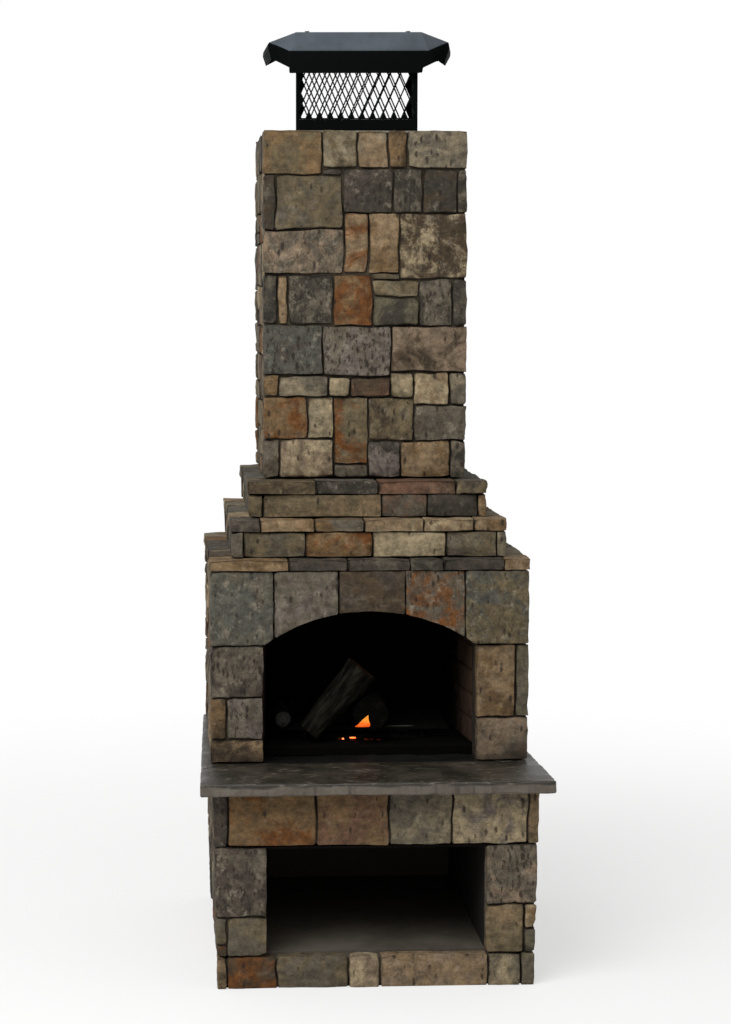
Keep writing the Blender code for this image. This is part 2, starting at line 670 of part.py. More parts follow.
def make_tiers():
    ring_course(
        "shoulder_cap", BODY_WIDTH + 2 * LEDGE_OVERHANG, FIREBOX_FRONT - LEDGE_OVERHANG, SHOULDER_BOTTOM,
        SHOULDER_THICKNESS, SHOULDER_SHARES, 51, TAN_STONE, CAP_SLAB_DEPTH,
    )
    ring_course(
        "middle_tier_wall", MIDDLE_WIDTH, MIDDLE_FRONT, SHOULDER_TOP + GAP, MIDDLE_WALL, MIDDLE_WALL_SHARES, 52,
        FIELDSTONE, VENEER,
    )
    ring_course(
        "middle_tier_cap", MIDDLE_WIDTH + 2 * LEDGE_OVERHANG, MIDDLE_FRONT - LEDGE_OVERHANG, MIDDLE_WALL_TOP + GAP,
        MIDDLE_CAP, MIDDLE_CAP_SHARES, 53, TAN_STONE, CAP_SLAB_DEPTH,
    )
    ring_course(
        "upper_tier_wall", UPPER_WIDTH, UPPER_FRONT, MIDDLE_TOP + GAP, UPPER_WALL, UPPER_WALL_SHARES, 54, FIELDSTONE,
        VENEER,
    )
    ring_course(
        "upper_tier_cap", UPPER_WIDTH + 2 * LEDGE_OVERHANG, UPPER_FRONT - LEDGE_OVERHANG, UPPER_WALL_TOP + GAP,
        UPPER_CAP, UPPER_CAP_SHARES, 55, TAN_STONE, CAP_SLAB_DEPTH,
    )
    chamber = block(
        "smoke_chamber",
        (-SMOKE_WIDTH / 2, FLUE_Y - SMOKE_DEPTH / 2, ARCH_TOP + GAP),
        (SMOKE_WIDTH / 2, FLUE_Y + SMOKE_DEPTH / 2, UPPER_TOP),
        CONCRETE,
    )
    passage = tapered_cutter(
        "smoke_passage", ARCH_TOP + GAP, UPPER_TOP, (THROAT_WIDTH, THROAT_DEPTH), (FLUE_INSIDE, FLUE_INSIDE),
        (FLUE_SHIFT, FLUE_Y - THROAT_SHIFT), FLUE_CENTRE,
    )
    boolean(chamber, passage)


# Chimney


def square_tube(name, width, depth, bottom, top, hole, finish, centre=(0.0, FLUE_Y)):
    """A square block round a square hole that is centred on the flue."""
    tube = block(
        name,
        (centre[0] - width / 2, centre[1] - depth / 2, bottom),
        (centre[0] + width / 2, centre[1] + depth / 2, top),
        finish,
    )
    bore = box_cutter(
        name + "_bore",
        (FLUE_CENTRE[0] - hole / 2, FLUE_CENTRE[1] - hole / 2, bottom - OVERRUN),
        (FLUE_CENTRE[0] + hole / 2, FLUE_CENTRE[1] + hole / 2, top + OVERRUN),
    )
    boolean(tube, bore)
    return tube


def make_chimney():
    front = veneer(
        "chimney_front_veneer", CHIMNEY_WIDTH, CHIMNEY_HEIGHT,
        shared_cells(CHIMNEY_WIDTH, CHIMNEY_HEIGHT, CHIMNEY_STONE_SHARES), 61, FIELDSTONE,
    )
    place(front, (0.0, CHIMNEY_FRONT + VENEER, CHIMNEY_BOTTOM))
    face_panels(
        "chimney", CHIMNEY_WIDTH, CHIMNEY_FRONT, CHIMNEY_BOTTOM, CHIMNEY_HEIGHT, ("left", "right", "back"), 63,
        FIELDSTONE,
    )
    tile = ((0.45, 0.27, 0.18), 0.8)
    tile_joint = CHIMNEY_BOTTOM + (FLUE_TOP - CHIMNEY_BOTTOM) * FLUE_TILE_SHARE
    square_tube(
        "flue_tile_lower", FLUE_OUTSIDE, FLUE_OUTSIDE, CHIMNEY_BOTTOM, tile_joint - GAP, FLUE_INSIDE, tile, FLUE_CENTRE
    )
    square_tube("flue_tile_upper", FLUE_OUTSIDE, FLUE_OUTSIDE, tile_joint, FLUE_TOP, FLUE_INSIDE, tile, FLUE_CENTRE)
    core_width = CHIMNEY_WIDTH - 2 * VENEER - 2 * GAP
    core_depth = CHIMNEY_DEPTH - 2 * VENEER - 2 * GAP
    crown_bottom = CHIMNEY_TOP - CROWN_THICKNESS
    hole = FLUE_OUTSIDE + 2 * GAP
    square_tube("chimney_core", core_width, core_depth, CHIMNEY_BOTTOM, crown_bottom - GAP, hole, CONCRETE)
    square_tube("chimney_crown", core_width, core_depth, crown_bottom, CHIMNEY_TOP, hole, ((0.5, 0.48, 0.45), 0.9))


# Chimney cap


def make_band():
    half = CAP_WIDTH / 2
    x, y = FLUE_CENTRE
    band = square_tube(
        "cap_base_band", CAP_WIDTH, CAP_WIDTH, BAND_BOTTOM, BAND_TOP, CAP_WIDTH - 2 * BAND_FLANGE, BLACK_METAL,
        FLUE_CENTRE,
    )
    inner = half - BAND_SHEET
    room = box_cutter(
        "band_room",
        (x - inner, y - inner, BAND_BOTTOM + BAND_SHEET),
        (x + inner, y + inner, BAND_TOP + OVERRUN),
    )
    boolean(band, room)


def diamond_prisms(bm, width, height):
    """The staggered diamonds of one screen, as four-sided bars through it, trimmed at its upper and lower border."""
    usable_width, usable_height = width - 2 * MESH_BORDER, height - 2 * MESH_BORDER
    columns = max(1, round(usable_width / DIAMOND_WIDTH))
    rows = max(1, round(2 * usable_height / DIAMOND_HEIGHT))
    pitch_x, pitch_z = usable_width / columns, usable_height / rows
    size = (pitch_x - STRAND, 2 * (pitch_z - STRAND), OVERRUN)
    count = 0
    for row in range(rows):
        for column in range(columns - row % 2):
            spot = Vector(((column + 0.5 + row % 2 / 2) * pitch_x - usable_width / 2, 0.0, MESH_BORDER))
            spot.z += (row + 0.5) * pitch_z
            matrix = Matrix.Translation(spot) @ Matrix.Rotation(math.pi / 2, 4, "X") @ Matrix.Diagonal((*size, 1.0))
            bmesh.ops.create_cone(
                bm, cap_ends=True, segments=4, radius1=0.5, radius2=0.5, depth=1.0, matrix=matrix
            )
            count += 1
    for level, upward in ((MESH_BORDER, -1), (height - MESH_BORDER, 1)):
        bmesh.ops.bisect_plane(
            bm, geom=[*bm.verts, *bm.edges, *bm.faces], plane_co=(0.0, 0.0, level), plane_no=(0.0, 0.0, upward),
            clear_outer=True,
        )
        bmesh.ops.holes_fill(bm, edges=[edge for edge in bm.edges if edge.is_boundary])
    bmesh.ops.recalc_face_normals(bm, faces=bm.faces)
    return count


def make_screens():
    reach = CAP_WIDTH / 2 - POST_SHEET - GAP
    height = MESH_HEIGHT - GAP
    x, y = FLUE_CENTRE
    gaps = 0
    for index, name in enumerate(("front", "right", "back", "left")):
        lengthwise = name in ("front", "back")
        width = 2 * reach if lengthwise else 2 * (reach - MESH_SHEET - GAP)
        bm = bmesh.new()
        add_box(bm, (-width / 2, -MESH_SHEET / 2, 0.0), (width / 2, MESH_SHEET / 2, height))
        screen = add_object(f"cap_screen_{name}", bm, BLACK_METAL)
        bm = bmesh.new()
        gaps += diamond_prisms(bm, width, height)
        holes = add_object(f"cap_screen_{name}_diamonds", bm, None)
        turn = index * math.pi / 2
        out = reach - MESH_SHEET / 2
        spot = (x + math.sin(turn) * out, y - math.cos(turn) * out, MESH_BOTTOM)
        place((screen, holes), spot, turn)
        boolean(screen, holes)
    print(f"screens: {gaps} diamond gaps")


def make_cap_frame():
    """Four angle posts, the band that joins their tops, and a drilled gusset in each top corner."""
    half = CAP_WIDTH / 2
    x, y = FLUE_CENTRE
    ring_bottom, top = MESH_TOP, LID_SEAT - GAP
    frame = square_tube(
        "cap_frame", CAP_WIDTH, CAP_WIDTH, MESH_BOTTOM, top, CAP_WIDTH - 2 * POST_SHEET, BLACK_METAL, FLUE_CENTRE
    )
    reach, open_half = half + OVERRUN, half - POST_LEG
    for name, across, along in (("front_back", open_half, reach), ("left_right", reach, open_half)):
        low = (x - across, y - along, MESH_BOTTOM - OVERRUN)
        boolean(frame, box_cutter(f"cap_frame_gap_{name}", low, (x + across, y + along, ring_bottom)))
    for side_x in (-1, 1):
        for side_y in (-1, 1):
            reach = half - POST_SHEET / 2
            corner = Vector((x + side_x * reach, y + side_y * reach, 0.0))
            inward = Vector((-side_x, -side_y, 0.0))
            other = corner + Vector((inward.x * GUSSET, inward.y * GUSSET, 0.0))
            low = (min(corner.x, other.x), min(corner.y, other.y), top - GUSSET_SHEET)
            high = (max(corner.x, other.x), max(corner.y, other.y), top)
            boolean(frame, block(f"cap_gusset_{side_x}_{side_y}", low, high, None), "UNION")
    for place_index, spot in enumerate(bolt_places()):
        boolean(frame, bolt_hole(f"frame_hole_{place_index}", spot, top - GUSSET_SHEET, top))


def bolt_places():
    x, y = LID_CENTRE
    out = LID_TOP_WIDTH / 2 - BOLT_INSET
    return [(x + side_x * out, y + side_y * out) for side_y in (-1, 1) for side_x in (-1, 1)]


def bolt_hole(name, spot, bottom, top):
    bm = bmesh.new()
    bmesh.ops.create_cone(
        bm, cap_ends=True, segments=BOLT_SIDES, radius1=BOLT_HOLE_RADIUS, radius2=BOLT_HOLE_RADIUS,
        depth=top - bottom + 2 * OVERRUN,
    )
    hole = add_object(name, bm, None)
    hole.location = (*spot, (bottom + top) / 2)
    return hole


def lid_outline():
    """Three level rings of the folded lid, each as eight points: its flat top, its rim and the foot of its skirt."""
    x, y = LID_CENTRE
    top = LID_TOP_WIDTH / 2
    front, side = LID_FRONT_WIDTH / 2, LID_SIDE_LENGTH / 2
    front_reach = top + LID_FRONT_OUT
    height = LID_SEAT + LID_SHEET
    rings = [[], [], []]
    for corner in range(4):
        side_x = 1 if corner in (0, 1) else -1
        side_y = -1 if corner in (0, 3) else 1
        flap = Vector((x + side_x * front, y + side_y * front_reach, height - LID_FRONT_DROP))
        side_reach = top + (LID_SIDE_OUT if side_y < 0 else LID_BACK_OUT)
        wing = Vector((x + side_x * side_reach, y + side_y * (side - LID_SIDE_OUT), height - LID_SIDE_DROP))
        ear = Vector((-side_x * LID_EAR_TUCK, 0.0, -LID_EAR_SKIRT))
        skirt = Vector((0.0, 0.0, -LID_FRONT_SKIRT if side_y < 0 else -LID_BACK_SKIRT))
        crease = Vector((x + side_x * top, y + side_y * top, height))
        pair = [(crease, flap, flap + skirt), (crease, wing, wing + ear)]
        if side_x * side_y > 0:
            pair.reverse()
        for spots in pair:
            for ring, spot in zip(rings, spots):
                ring.append(spot)
    return rings


def make_lid():
    """The lid is one folded sheet: a flat top, four flaps, a pinched fold at each corner and a hanging skirt."""
    top_ring, rim_ring, foot_ring = lid_outline()
    bm = bmesh.new()
    corners = [bm.verts.new(spot) for spot in top_ring[::2]]
    rim = [bm.verts.new(spot) for spot in rim_ring]
    foot = [bm.verts.new(spot) for spot in foot_ring]
    bm.faces.new(corners)
    for index in range(8):
        after = (index + 1) % 8
        bm.faces.new((rim[index], rim[after], foot[after], foot[index]))
        if index % 2 == 0:
            bm.faces.new((corners[index // 2], rim[index], rim[after]))
        else:
            bm.faces.new((corners[index // 2], rim[index], rim[after], corners[after // 2]))
    bmesh.ops.triangulate(bm, faces=bm.faces)
    bmesh.ops.recalc_face_normals(bm, faces=bm.faces)
    if sum(face.normal.z * face.calc_area() for face in bm.faces) < 0:
        bmesh.ops.reverse_faces(bm, faces=bm.faces)
    lid = add_object("cap_lid", bm, BLACK_METAL)
    solidify = lid.modifiers.new("sheet", "SOLIDIFY")
    solidify.thickness = LID_SHEET
    solidify.offset = -1.0
    solidify.use_even_offset = True
    for index, spot in enumerate(bolt_places()):
        boolean(lid, bolt_hole(f"lid_hole_{index}", spot, LID_SEAT, LID_SEAT + LID_SHEET))


def make_bolts():
    head_seat = LID_SEAT + LID_SHEET + GAP
    shank_foot = LID_SEAT - GUSSET_SHEET - BOLT_TIP
    for name, spot in zip(("front_left", "front_right", "back_left", "back_right"), bolt_places()):
        bm = bmesh.new()
        depth = head_seat + BOLT_HEAD / 2 - shank_foot
        bmesh.ops.create_cone(
            bm, cap_ends=True, segments=BOLT_SIDES, radius1=BOLT_RADIUS, radius2=BOLT_RADIUS, depth=depth,
            matrix=Matrix.Translation((0.0, 0.0, shank_foot + depth / 2 - head_seat)),
        )
        bolt = add_object(f"cap_bolt_{name}", bm, STEEL)
        bolt.location = (*spot, head_seat)
        bm = bmesh.new()
        bmesh.ops.create_cone(
            bm, cap_ends=True, segments=BOLT_SIDES // 2, radius1=BOLT_HEAD_RADIUS, radius2=BOLT_HEAD_RADIUS,
            depth=BOLT_HEAD, matrix=Matrix.Translation((0.0, 0.0, BOLT_HEAD / 2)),
        )
        head = add_object(f"bolt_head_{name}", bm, None)
        head.location = bolt.location
        boolean(bolt, head, "UNION")


def make_cap():
    """The whole cap, turned a little on its flue, as the real one stands."""
    others = set(bpy.data.objects)
    make_band()
    make_screens()
    make_cap_frame()
    make_lid()
    make_bolts()
    bpy.context.view_layer.update()
    pivot = Matrix.Translation((*FLUE_CENTRE, 0.0))
    turn = pivot @ Matrix.Rotation(-CAP_TURN, 4, "Z") @ pivot.inverted()
    for obj in set(bpy.data.objects) - others:
        obj.matrix_world = turn @ obj.matrix_world


# Fire


def grate_front():
    return FIREBOX_FRONT + FRONT_DEPTH + GAP + GRATE_SETBACK


def grate_top():
    return BRICK_TOP + GAP + GRATE_CLEARANCE + GRATE_BAR


def make_grate():
    """Square bars from side to side on two rails that run front to back, with four feet."""
    front, bottom = grate_front(), BRICK_TOP + GAP + GRATE_CLEARANCE
    half = GRATE_WIDTH / 2
    step = (GRATE_DEPTH - GRATE_BAR) / (GRATE_BARS - 1)
    rails, bars, feet = bmesh.new(), bmesh.new(), bmesh.new()
    for index in range(GRATE_BARS):
        low = front + index * step
        add_box(bars, (-half, low, bottom + GRATE_BAR / 4), (half, low + GRATE_BAR, bottom + GRATE_BAR))
    for side in (-1, 1):
        rail_x = side * (half - GRATE_RAIL_INSET)
        rail_low = (rail_x - GRATE_BAR / 2, front + GRATE_BAR / 3, bottom)
        rail_high = (rail_x + GRATE_BAR / 2, front + GRATE_DEPTH - GRATE_BAR / 3, bottom + GRATE_BAR * 3 / 4)
        add_box(rails, rail_low, rail_high)
        for foot_y in (front + GRATE_BAR, front + GRATE_DEPTH - 2 * GRATE_BAR):
            foot_low = (rail_x - GRATE_BAR / 3, foot_y, bottom - GRATE_CLEARANCE)
            add_box(feet, foot_low, (rail_x + GRATE_BAR / 3, foot_y + GRATE_BAR * 2 / 3, bottom + GRATE_BAR / 2))
    grate = add_object("log_grate", bars, ((0.03, 0.028, 0.026), 0.7, 0.8))
    boolean(grate, add_object("grate_rails", rails, None), "UNION")
    boolean(grate, add_object("grate_feet", feet, None), "UNION")


def add_log(name, radius, length, start, direction, colour):
    """A log from the middle of one end along a direction."""
    bm = bmesh.new()
    bmesh.ops.create_cone(
        bm, cap_ends=True, segments=LOG_SIDES, radius1=radius, radius2=radius, depth=length,
        matrix=Matrix.Translation((0.0, 0.0, length / 2)),
    )
    log = add_object(name, bm, (colour, 0.95))
    log.location = start
    log.rotation_mode = "QUATERNION"
    log.rotation_quaternion = Vector(direction).to_track_quat("Z", "Y")
    return log


def make_logs():
    """Two logs lie front to back on the grate, and a third stands on the floor before it and leans on one of them."""
    seat, front = grate_top() + GAP, grate_front()
    log_z = seat + LOG_RADIUS
    add_log("log_right", LOG_RADIUS, LOG_LENGTH, (LOG_X, front - LOG_FORWARD, log_z), (0, 1, 0), (0.22, 0.13, 0.08))
    ashy_x = ASHY_LOG_INSET - GRATE_WIDTH / 2
    ashy_start = (ashy_x, front - GRATE_BAR, seat + ASHY_LOG_RADIUS)
    add_log("log_ashy", ASHY_LOG_RADIUS, ASHY_LOG_LENGTH, ashy_start, (0, 1, 0), (0.45, 0.43, 0.40))
    angle = LEANING_LOG_ANGLE
    foot_z = BRICK_TOP + GAP + LEANING_LOG_RADIUS * math.cos(angle)
    reach = LOG_RADIUS + LEANING_LOG_RADIUS + GAP + (log_z - foot_z) * math.cos(angle)
    foot = (LOG_X - reach / math.sin(angle), front - LEANING_LOG_SETBACK, foot_z)
    lean_direction = (math.cos(angle), 0, math.sin(angle))
    add_log("log_leaning", LEANING_LOG_RADIUS, LEANING_LOG_LENGTH, foot, lean_direction, (0.30, 0.29, 0.24))


def make_ash():
    """A low heap of ash under the grate, between its feet."""
    front = grate_front()
    ash_half = GRATE_WIDTH / 2 - GRATE_RAIL_INSET - GRATE_BAR / 3 - ASH_CLEARANCE
    bm = bmesh.new()
    low, high = (-ash_half, front, 0.0), (ash_half, front + ASH_DEPTH, ASH_HEIGHT)
    for vert in add_box(bm, low, high):
        if vert.co.z > ASH_HEIGHT / 2:
            vert.co.x -= math.copysign(ASH_SLOPE, vert.co.x)
            vert.co.y -= math.copysign(ASH_SLOPE, vert.co.y - front - ASH_DEPTH / 2)
    ash = add_object("ash_bed", bm, ((0.30, 0.28, 0.26), 1.0))
    ash.location.z = BRICK_TOP + GAP


def main():
    clear_scene()
    make_base()
    make_firebox()
    make_tiers()
    make_chimney()
    make_cap()
    make_grate()
    make_logs()
    make_ash()


main()
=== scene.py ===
"""Outdoor stone fireplace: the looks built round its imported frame, laid out as an add-on."""

import math
import random

import bmesh
import bpy
import numpy as np
from bpy.props import FloatProperty, FloatVectorProperty, PointerProperty
from mathutils import Matrix, Vector


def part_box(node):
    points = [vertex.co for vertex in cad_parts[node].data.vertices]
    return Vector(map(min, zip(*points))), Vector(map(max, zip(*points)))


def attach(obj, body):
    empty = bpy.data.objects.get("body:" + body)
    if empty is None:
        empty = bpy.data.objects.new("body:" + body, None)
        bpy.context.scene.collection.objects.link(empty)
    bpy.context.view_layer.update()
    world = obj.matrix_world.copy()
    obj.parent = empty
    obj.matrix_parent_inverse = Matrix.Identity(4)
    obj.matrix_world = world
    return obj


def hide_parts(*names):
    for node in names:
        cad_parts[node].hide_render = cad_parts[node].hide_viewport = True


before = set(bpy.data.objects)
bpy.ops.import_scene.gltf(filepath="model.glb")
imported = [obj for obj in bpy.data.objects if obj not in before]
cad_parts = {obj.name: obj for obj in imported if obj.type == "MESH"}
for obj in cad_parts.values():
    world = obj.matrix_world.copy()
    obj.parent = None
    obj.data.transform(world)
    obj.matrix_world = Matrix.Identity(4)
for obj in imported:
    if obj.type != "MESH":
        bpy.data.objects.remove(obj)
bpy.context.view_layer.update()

bl_info = {
    "name": "Outdoor stone fireplace",
    "version": (1, 0, 0),
    "blender": (4, 5, 0),
    "location": "3D View > Sidebar > Fireplace",
    "description": "Builds the stonework, the chimney cap and the fire round the packed frame",
    "category": "Add Mesh",
}

# Stonework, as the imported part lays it
VENEER = 0.055
FRONT_DEPTH = 0.10
RELIEF = 0.004
BED_INSET = 0.003
COURSE = 0.105
STONE_LENGTH = 0.17
CAP_SLAB_DEPTH = 0.115
RING_JOINT = 0.005
ARCH_RISE = 0.087
GAP = 0.0003
COURSE_JITTER_SHARE = 0.16
LENGTH_JITTER_SHARE = 0.28
SPLIT_CHANCE_SHARE = 0.30
SPLIT_HEIGHT_SHARE = 0.38
LEAN_LEFT = 0.011
LEAN_RIGHT = 0.012

# Places read from the frame
HALF_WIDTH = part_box("firebox_back_veneer")[1].x
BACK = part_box("hearth_slab")[1].y
BASE_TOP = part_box("base_back_veneer")[1].z
BASE_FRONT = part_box("base_lintel_course")[1].y - VENEER
WOODBOX_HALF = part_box("base_right_jamb")[0].x
SILL_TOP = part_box("base_bottom_course")[1].z
JAMB_BOTTOM, JAMB_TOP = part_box("base_left_jamb")[0].z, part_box("base_left_jamb")[1].z
LINTEL_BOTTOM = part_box("base_lintel_course")[0].z
FIREBOX_BOTTOM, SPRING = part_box("left_jamb_stones")[0].z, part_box("left_jamb_stones")[1].z
FIREBOX_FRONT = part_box("left_jamb_stones")[1].y - FRONT_DEPTH
OPENING_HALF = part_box("right_jamb_stones")[0].x
ARCH_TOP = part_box("arch_keystone")[1].z
CROWN = SPRING + ARCH_RISE
FLUE_CENTRE = (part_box("flue_tile_upper")[0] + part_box("flue_tile_upper")[1]) / 2

# Stone colours by name, as a mason would sort them, in display values
STONE_COLOURS = {
    "beige": (0.425, 0.385, 0.31),
    "blue": (0.29, 0.287, 0.255),
    "brick": (0.345, 0.25, 0.19),
    "char": (0.17, 0.16, 0.135),
    "cream": (0.53, 0.475, 0.375),
    "grey": (0.33, 0.302, 0.255),
    "mauve": (0.38, 0.345, 0.315),
    "moss": (0.325, 0.302, 0.235),
    "ochre": (0.385, 0.305, 0.205),
    "olive": (0.345, 0.302, 0.222),
    "pink": (0.445, 0.38, 0.31),
    "plum": (0.24, 0.212, 0.183),
    "rust": (0.375, 0.228, 0.10),
    "slate": (0.195, 0.18, 0.15),
    "tan": (0.46, 0.385, 0.29),
    "umber": (0.24, 0.195, 0.14),
}

# Chimney front: left, right, bottom and top as shares, main and second colour, share of dark tool marks
CHIMNEY_FRONT_SHARES = (
    (0.000, 0.289, 0.869, 1.000, "ochre", "olive", 0.2), (0.289, 0.461, 0.888, 1.000, "beige", "olive", 0.1),
    (0.461, 0.610, 0.888, 1.000, "beige", "tan", 0.1), (0.610, 0.705, 0.888, 1.000, "ochre", "umber", 0.1),
    (0.705, 1.000, 0.888, 1.000, "beige", "grey", 0.5), (0.289, 0.391, 0.869, 0.888, "plum", "slate", 0.3),
    (0.000, 0.060, 0.714, 0.869, "slate", "umber", 0.4), (0.060, 0.391, 0.714, 0.869, "olive", "grey", 0.3),
    (0.391, 0.634, 0.762, 0.888, "slate", "plum", 0.9), (0.634, 0.779, 0.762, 0.888, "slate", "grey", 0.8),
    (0.779, 0.944, 0.762, 0.888, "slate", "umber", 0.5), (0.944, 1.000, 0.762, 0.888, "grey", "slate", 0.3),
    (0.000, 0.392, 0.589, 0.714, "pink", "grey", 0.8), (0.392, 0.517, 0.592, 0.762, "tan", "rust", 0.1),
    (0.517, 0.671, 0.592, 0.762, "tan", "ochre", 0.1), (0.671, 1.000, 0.574, 0.762, "umber", "cream", 0.7),
    (0.000, 0.071, 0.445, 0.586, "char", "grey", 0.4), (0.071, 0.119, 0.445, 0.586, "tan", "ochre", 0.2),
    (0.119, 0.346, 0.445, 0.586, "slate", "grey", 0.9), (0.346, 0.537, 0.440, 0.589, "rust", "ochre", 0.3),
    (0.537, 0.671, 0.571, 0.592, "grey", "olive", 0.2), (0.537, 0.763, 0.521, 0.571, "olive", "beige", 0.2),
    (0.537, 0.763, 0.440, 0.521, "moss", "slate", 0.3), (0.763, 0.926, 0.440, 0.574, "grey", "slate", 1.0),
    (0.926, 1.000, 0.440, 0.574, "slate", "grey", 0.5), (0.000, 0.294, 0.298, 0.445, "blue", "plum", 0.9),
    (0.294, 0.628, 0.294, 0.440, "mauve", "grey", 1.0), (0.628, 1.000, 0.304, 0.440, "pink", "umber", 0.4),
    (0.000, 0.076, 0.236, 0.298, "ochre", "grey", 0.2), (0.076, 0.319, 0.236, 0.294, "beige", "grey", 0.2),
    (0.319, 0.426, 0.236, 0.291, "cream", "cream", 0.1), (0.426, 0.628, 0.234, 0.291, "brick", "umber", 0.2),
    (0.628, 0.735, 0.233, 0.304, "cream", "olive", 0.1), (0.735, 0.910, 0.210, 0.304, "cream", "tan", 0.1),
    (0.910, 1.000, 0.210, 0.304, "beige", "grey", 0.2), (0.000, 0.221, 0.111, 0.236, "ochre", "rust", 0.2),
    (0.221, 0.346, 0.111, 0.236, "beige", "cream", 0.1), (0.346, 0.515, 0.041, 0.234, "olive", "rust", 0.4),
    (0.515, 0.742, 0.105, 0.233, "olive", "umber", 0.6), (0.742, 1.000, 0.105, 0.210, "grey", "umber", 0.7),
    (0.000, 0.079, 0.000, 0.111, "grey", "umber", 0.3), (0.079, 0.346, 0.000, 0.111, "cream", "pink", 0.6),
    (0.346, 0.515, 0.000, 0.041, "umber", "grey", 0.3), (0.515, 0.674, 0.000, 0.105, "mauve", "slate", 0.8),
    (0.674, 0.918, 0.000, 0.105, "tan", "ochre", 0.2), (0.918, 1.000, 0.000, 0.105, "slate", "grey", 0.3),
)
LEFT_JAMB_SHARES = (
    (0.00, 1.00, 0.00, 0.20, "tan", "umber", 0.3), (0.00, 0.30, 0.20, 0.555, "ochre", "umber", 0.2),
    (0.30, 1.00, 0.20, 0.555, "mauve", "grey", 0.9), (0.00, 1.00, 0.555, 1.00, "plum", "grey", 0.8),
)
RIGHT_JAMB_SHARES = (
    (0.00, 1.00, 0.00, 0.375, "pink", "grey", 0.4), (0.00, 0.74, 0.375, 1.00, "ochre", "tan", 0.4),
    (0.74, 1.00, 0.375, 1.00, "moss", "grey", 0.2),
)
BASE_LEFT_JAMB_SHARES = (
    (0.00, 1.00, 0.365, 1.00, "plum", "grey", 0.9), (0.00, 0.226, 0.11, 0.365, "grey", "olive", 0.3),
    (0.226, 1.00, 0.00, 0.365, "olive", "grey", 0.1), (0.00, 0.226, 0.00, 0.11, "umber", "rust", 0.1),
)
BASE_RIGHT_JAMB_SHARES = (
    (0.00, 1.00, 0.455, 1.00, "grey", "pink", 1.0), (0.00, 0.76, 0.00, 0.455, "olive", "tan", 0.2),
    (0.76, 1.00, 0.23, 0.455, "cream", "ochre", 0.1), (0.76, 1.00, 0.00, 0.23, "moss", "grey", 0.2),
)

# Single courses: upright joints as shares of the width, then the finish of each stone from the left
SILL_SHARES = ((0.034, 0.197, 0.414, 0.511, 0.841, 0.951), (
    ("tan", "umber", 0.1), ("rust", "umber", 0.2), ("olive", "grey", 0.2), ("cream", "pink", 0.3),
    ("tan", "pink", 0.5), ("grey", "cream", 0.4), ("moss", "grey", 0.2)))
LINTEL_SHARES = ((0.047, 0.315, 0.538, 0.729, 0.962), (
    ("plum", "slate", 0.5), ("ochre", "rust", 0.1), ("brick", "ochre", 0.4), ("grey", "beige", 0.4),
    ("cream", "mauve", 0.4), ("olive", "tan", 0.3)))
ARCH_SHARES = ((0.200, 0.402, 0.610, 0.797), (
    ("blue", "grey", 0.6), ("grey", "mauve", 0.5), ("umber", "plum", 0.1), ("grey", "rust", 0.7),
    ("olive", "blue", 0.7)))
SHOULDER_SHARES = ((0.248, 0.431, 0.624, 0.727, 0.916), (
    ("tan", "ochre", 0.1), ("plum", "slate", 0.2), ("grey", "plum", 0.2), ("slate", "grey", 0.2),
    ("plum", "slate", 0.2), ("tan", "ochre", 0.1)))
MIDDLE_WALL_SHARES = ((0.045, 0.270, 0.512, 0.780, 0.962), (
    ("grey", "rust", 0.2), ("olive", "grey", 0.4), ("ochre", "rust", 0.1), ("cream", "cream", 0.1),
    ("grey", "olive", 0.4), ("beige", "grey", 0.2)))
MIDDLE_CAP_SHARES = ((0.110, 0.304, 0.482, 0.695, 0.877), (
    ("plum", "grey", 0.2), ("tan", "ochre", 0.1), ("ochre", "grey", 0.2), ("tan", "cream", 0.2),
    ("tan", "cream", 0.2), ("ochre", "tan", 0.1)))
UPPER_WALL_SHARES = ((0.062, 0.558, 0.750, 0.961), (
    ("olive", "grey", 0.3), ("olive", "tan", 0.2), ("grey", "brick", 0.3), ("slate", "plum", 0.3),
    ("tan", "ochre", 0.2)))
UPPER_CAP_SHARES = ((0.285, 0.543, 0.867), (
    ("olive", "umber", 0.2), ("slate", "mauve", 0.6), ("brick", "umber", 0.2), ("plum", "olive", 0.3)))

# Finishes that the sides and the back draw from
FIELD_FINISHES = (
    ("ochre", "rust", 0.2), ("beige", "olive", 0.2), ("beige", "grey", 0.5), ("olive", "grey", 0.3),
    ("slate", "plum", 0.9), ("grey", "plum", 0.8), ("pink", "plum", 0.6), ("tan", "ochre", 0.2),
    ("umber", "beige", 0.7), ("moss", "grey", 0.3), ("grey", "cream", 0.7), ("cream", "tan", 0.2),
    ("rust", "ochre", 0.3), ("blue", "grey", 0.6), ("plum", "grey", 0.5), ("slate", "umber", 0.4),
    ("brick", "umber", 0.3), ("olive", "tan", 0.2))

# How a stone is dressed
FACE_CUTS = 12
SLAB_CUTS = 9
RIM_CELLS = 3
CORNER_RADIUS = (0.0035, 0.0085)
VISIBLE_JOINT = 0.0008
WANDER = 0.0022
WANDER_LENGTH = 0.11
WANDER_FADE = 0.03
CORNER_DRIFT = 0.0013
CHIP_DEPTH = (0.0008, 0.0040)
CHIPS = 6
FACET_DEPTH = 0.005
FACET_SLOPE = 0.08
FACETS = 4
SIDE_FACET_SHARE = 0.25
ROUGH_DEPTH = 0.0010
ROUGH_LENGTH = 0.045
FINE_DEPTH = 0.0006
FINE_LENGTH = 0.015
WAVES = 12
MORTAR_RECESS = 0.017
FREE_RECESS = 0.007
BED_DROP = 0.011
GROUND_SINK = 0.007
STONE_ANGLE = 38
SLAB_ANGLE = 40
RADIUS_LIMIT_SHARE = 0.45
SLAB_RADIUS_SHARE = 0.2
CHIP_TURN = 0.45
CHIP_RIM_SHARE = 0.04
FACET_LEVEL_SHARES = (-0.5, 0.2)
WAVE_LENGTH_SHARES = (0.6, 1.7)
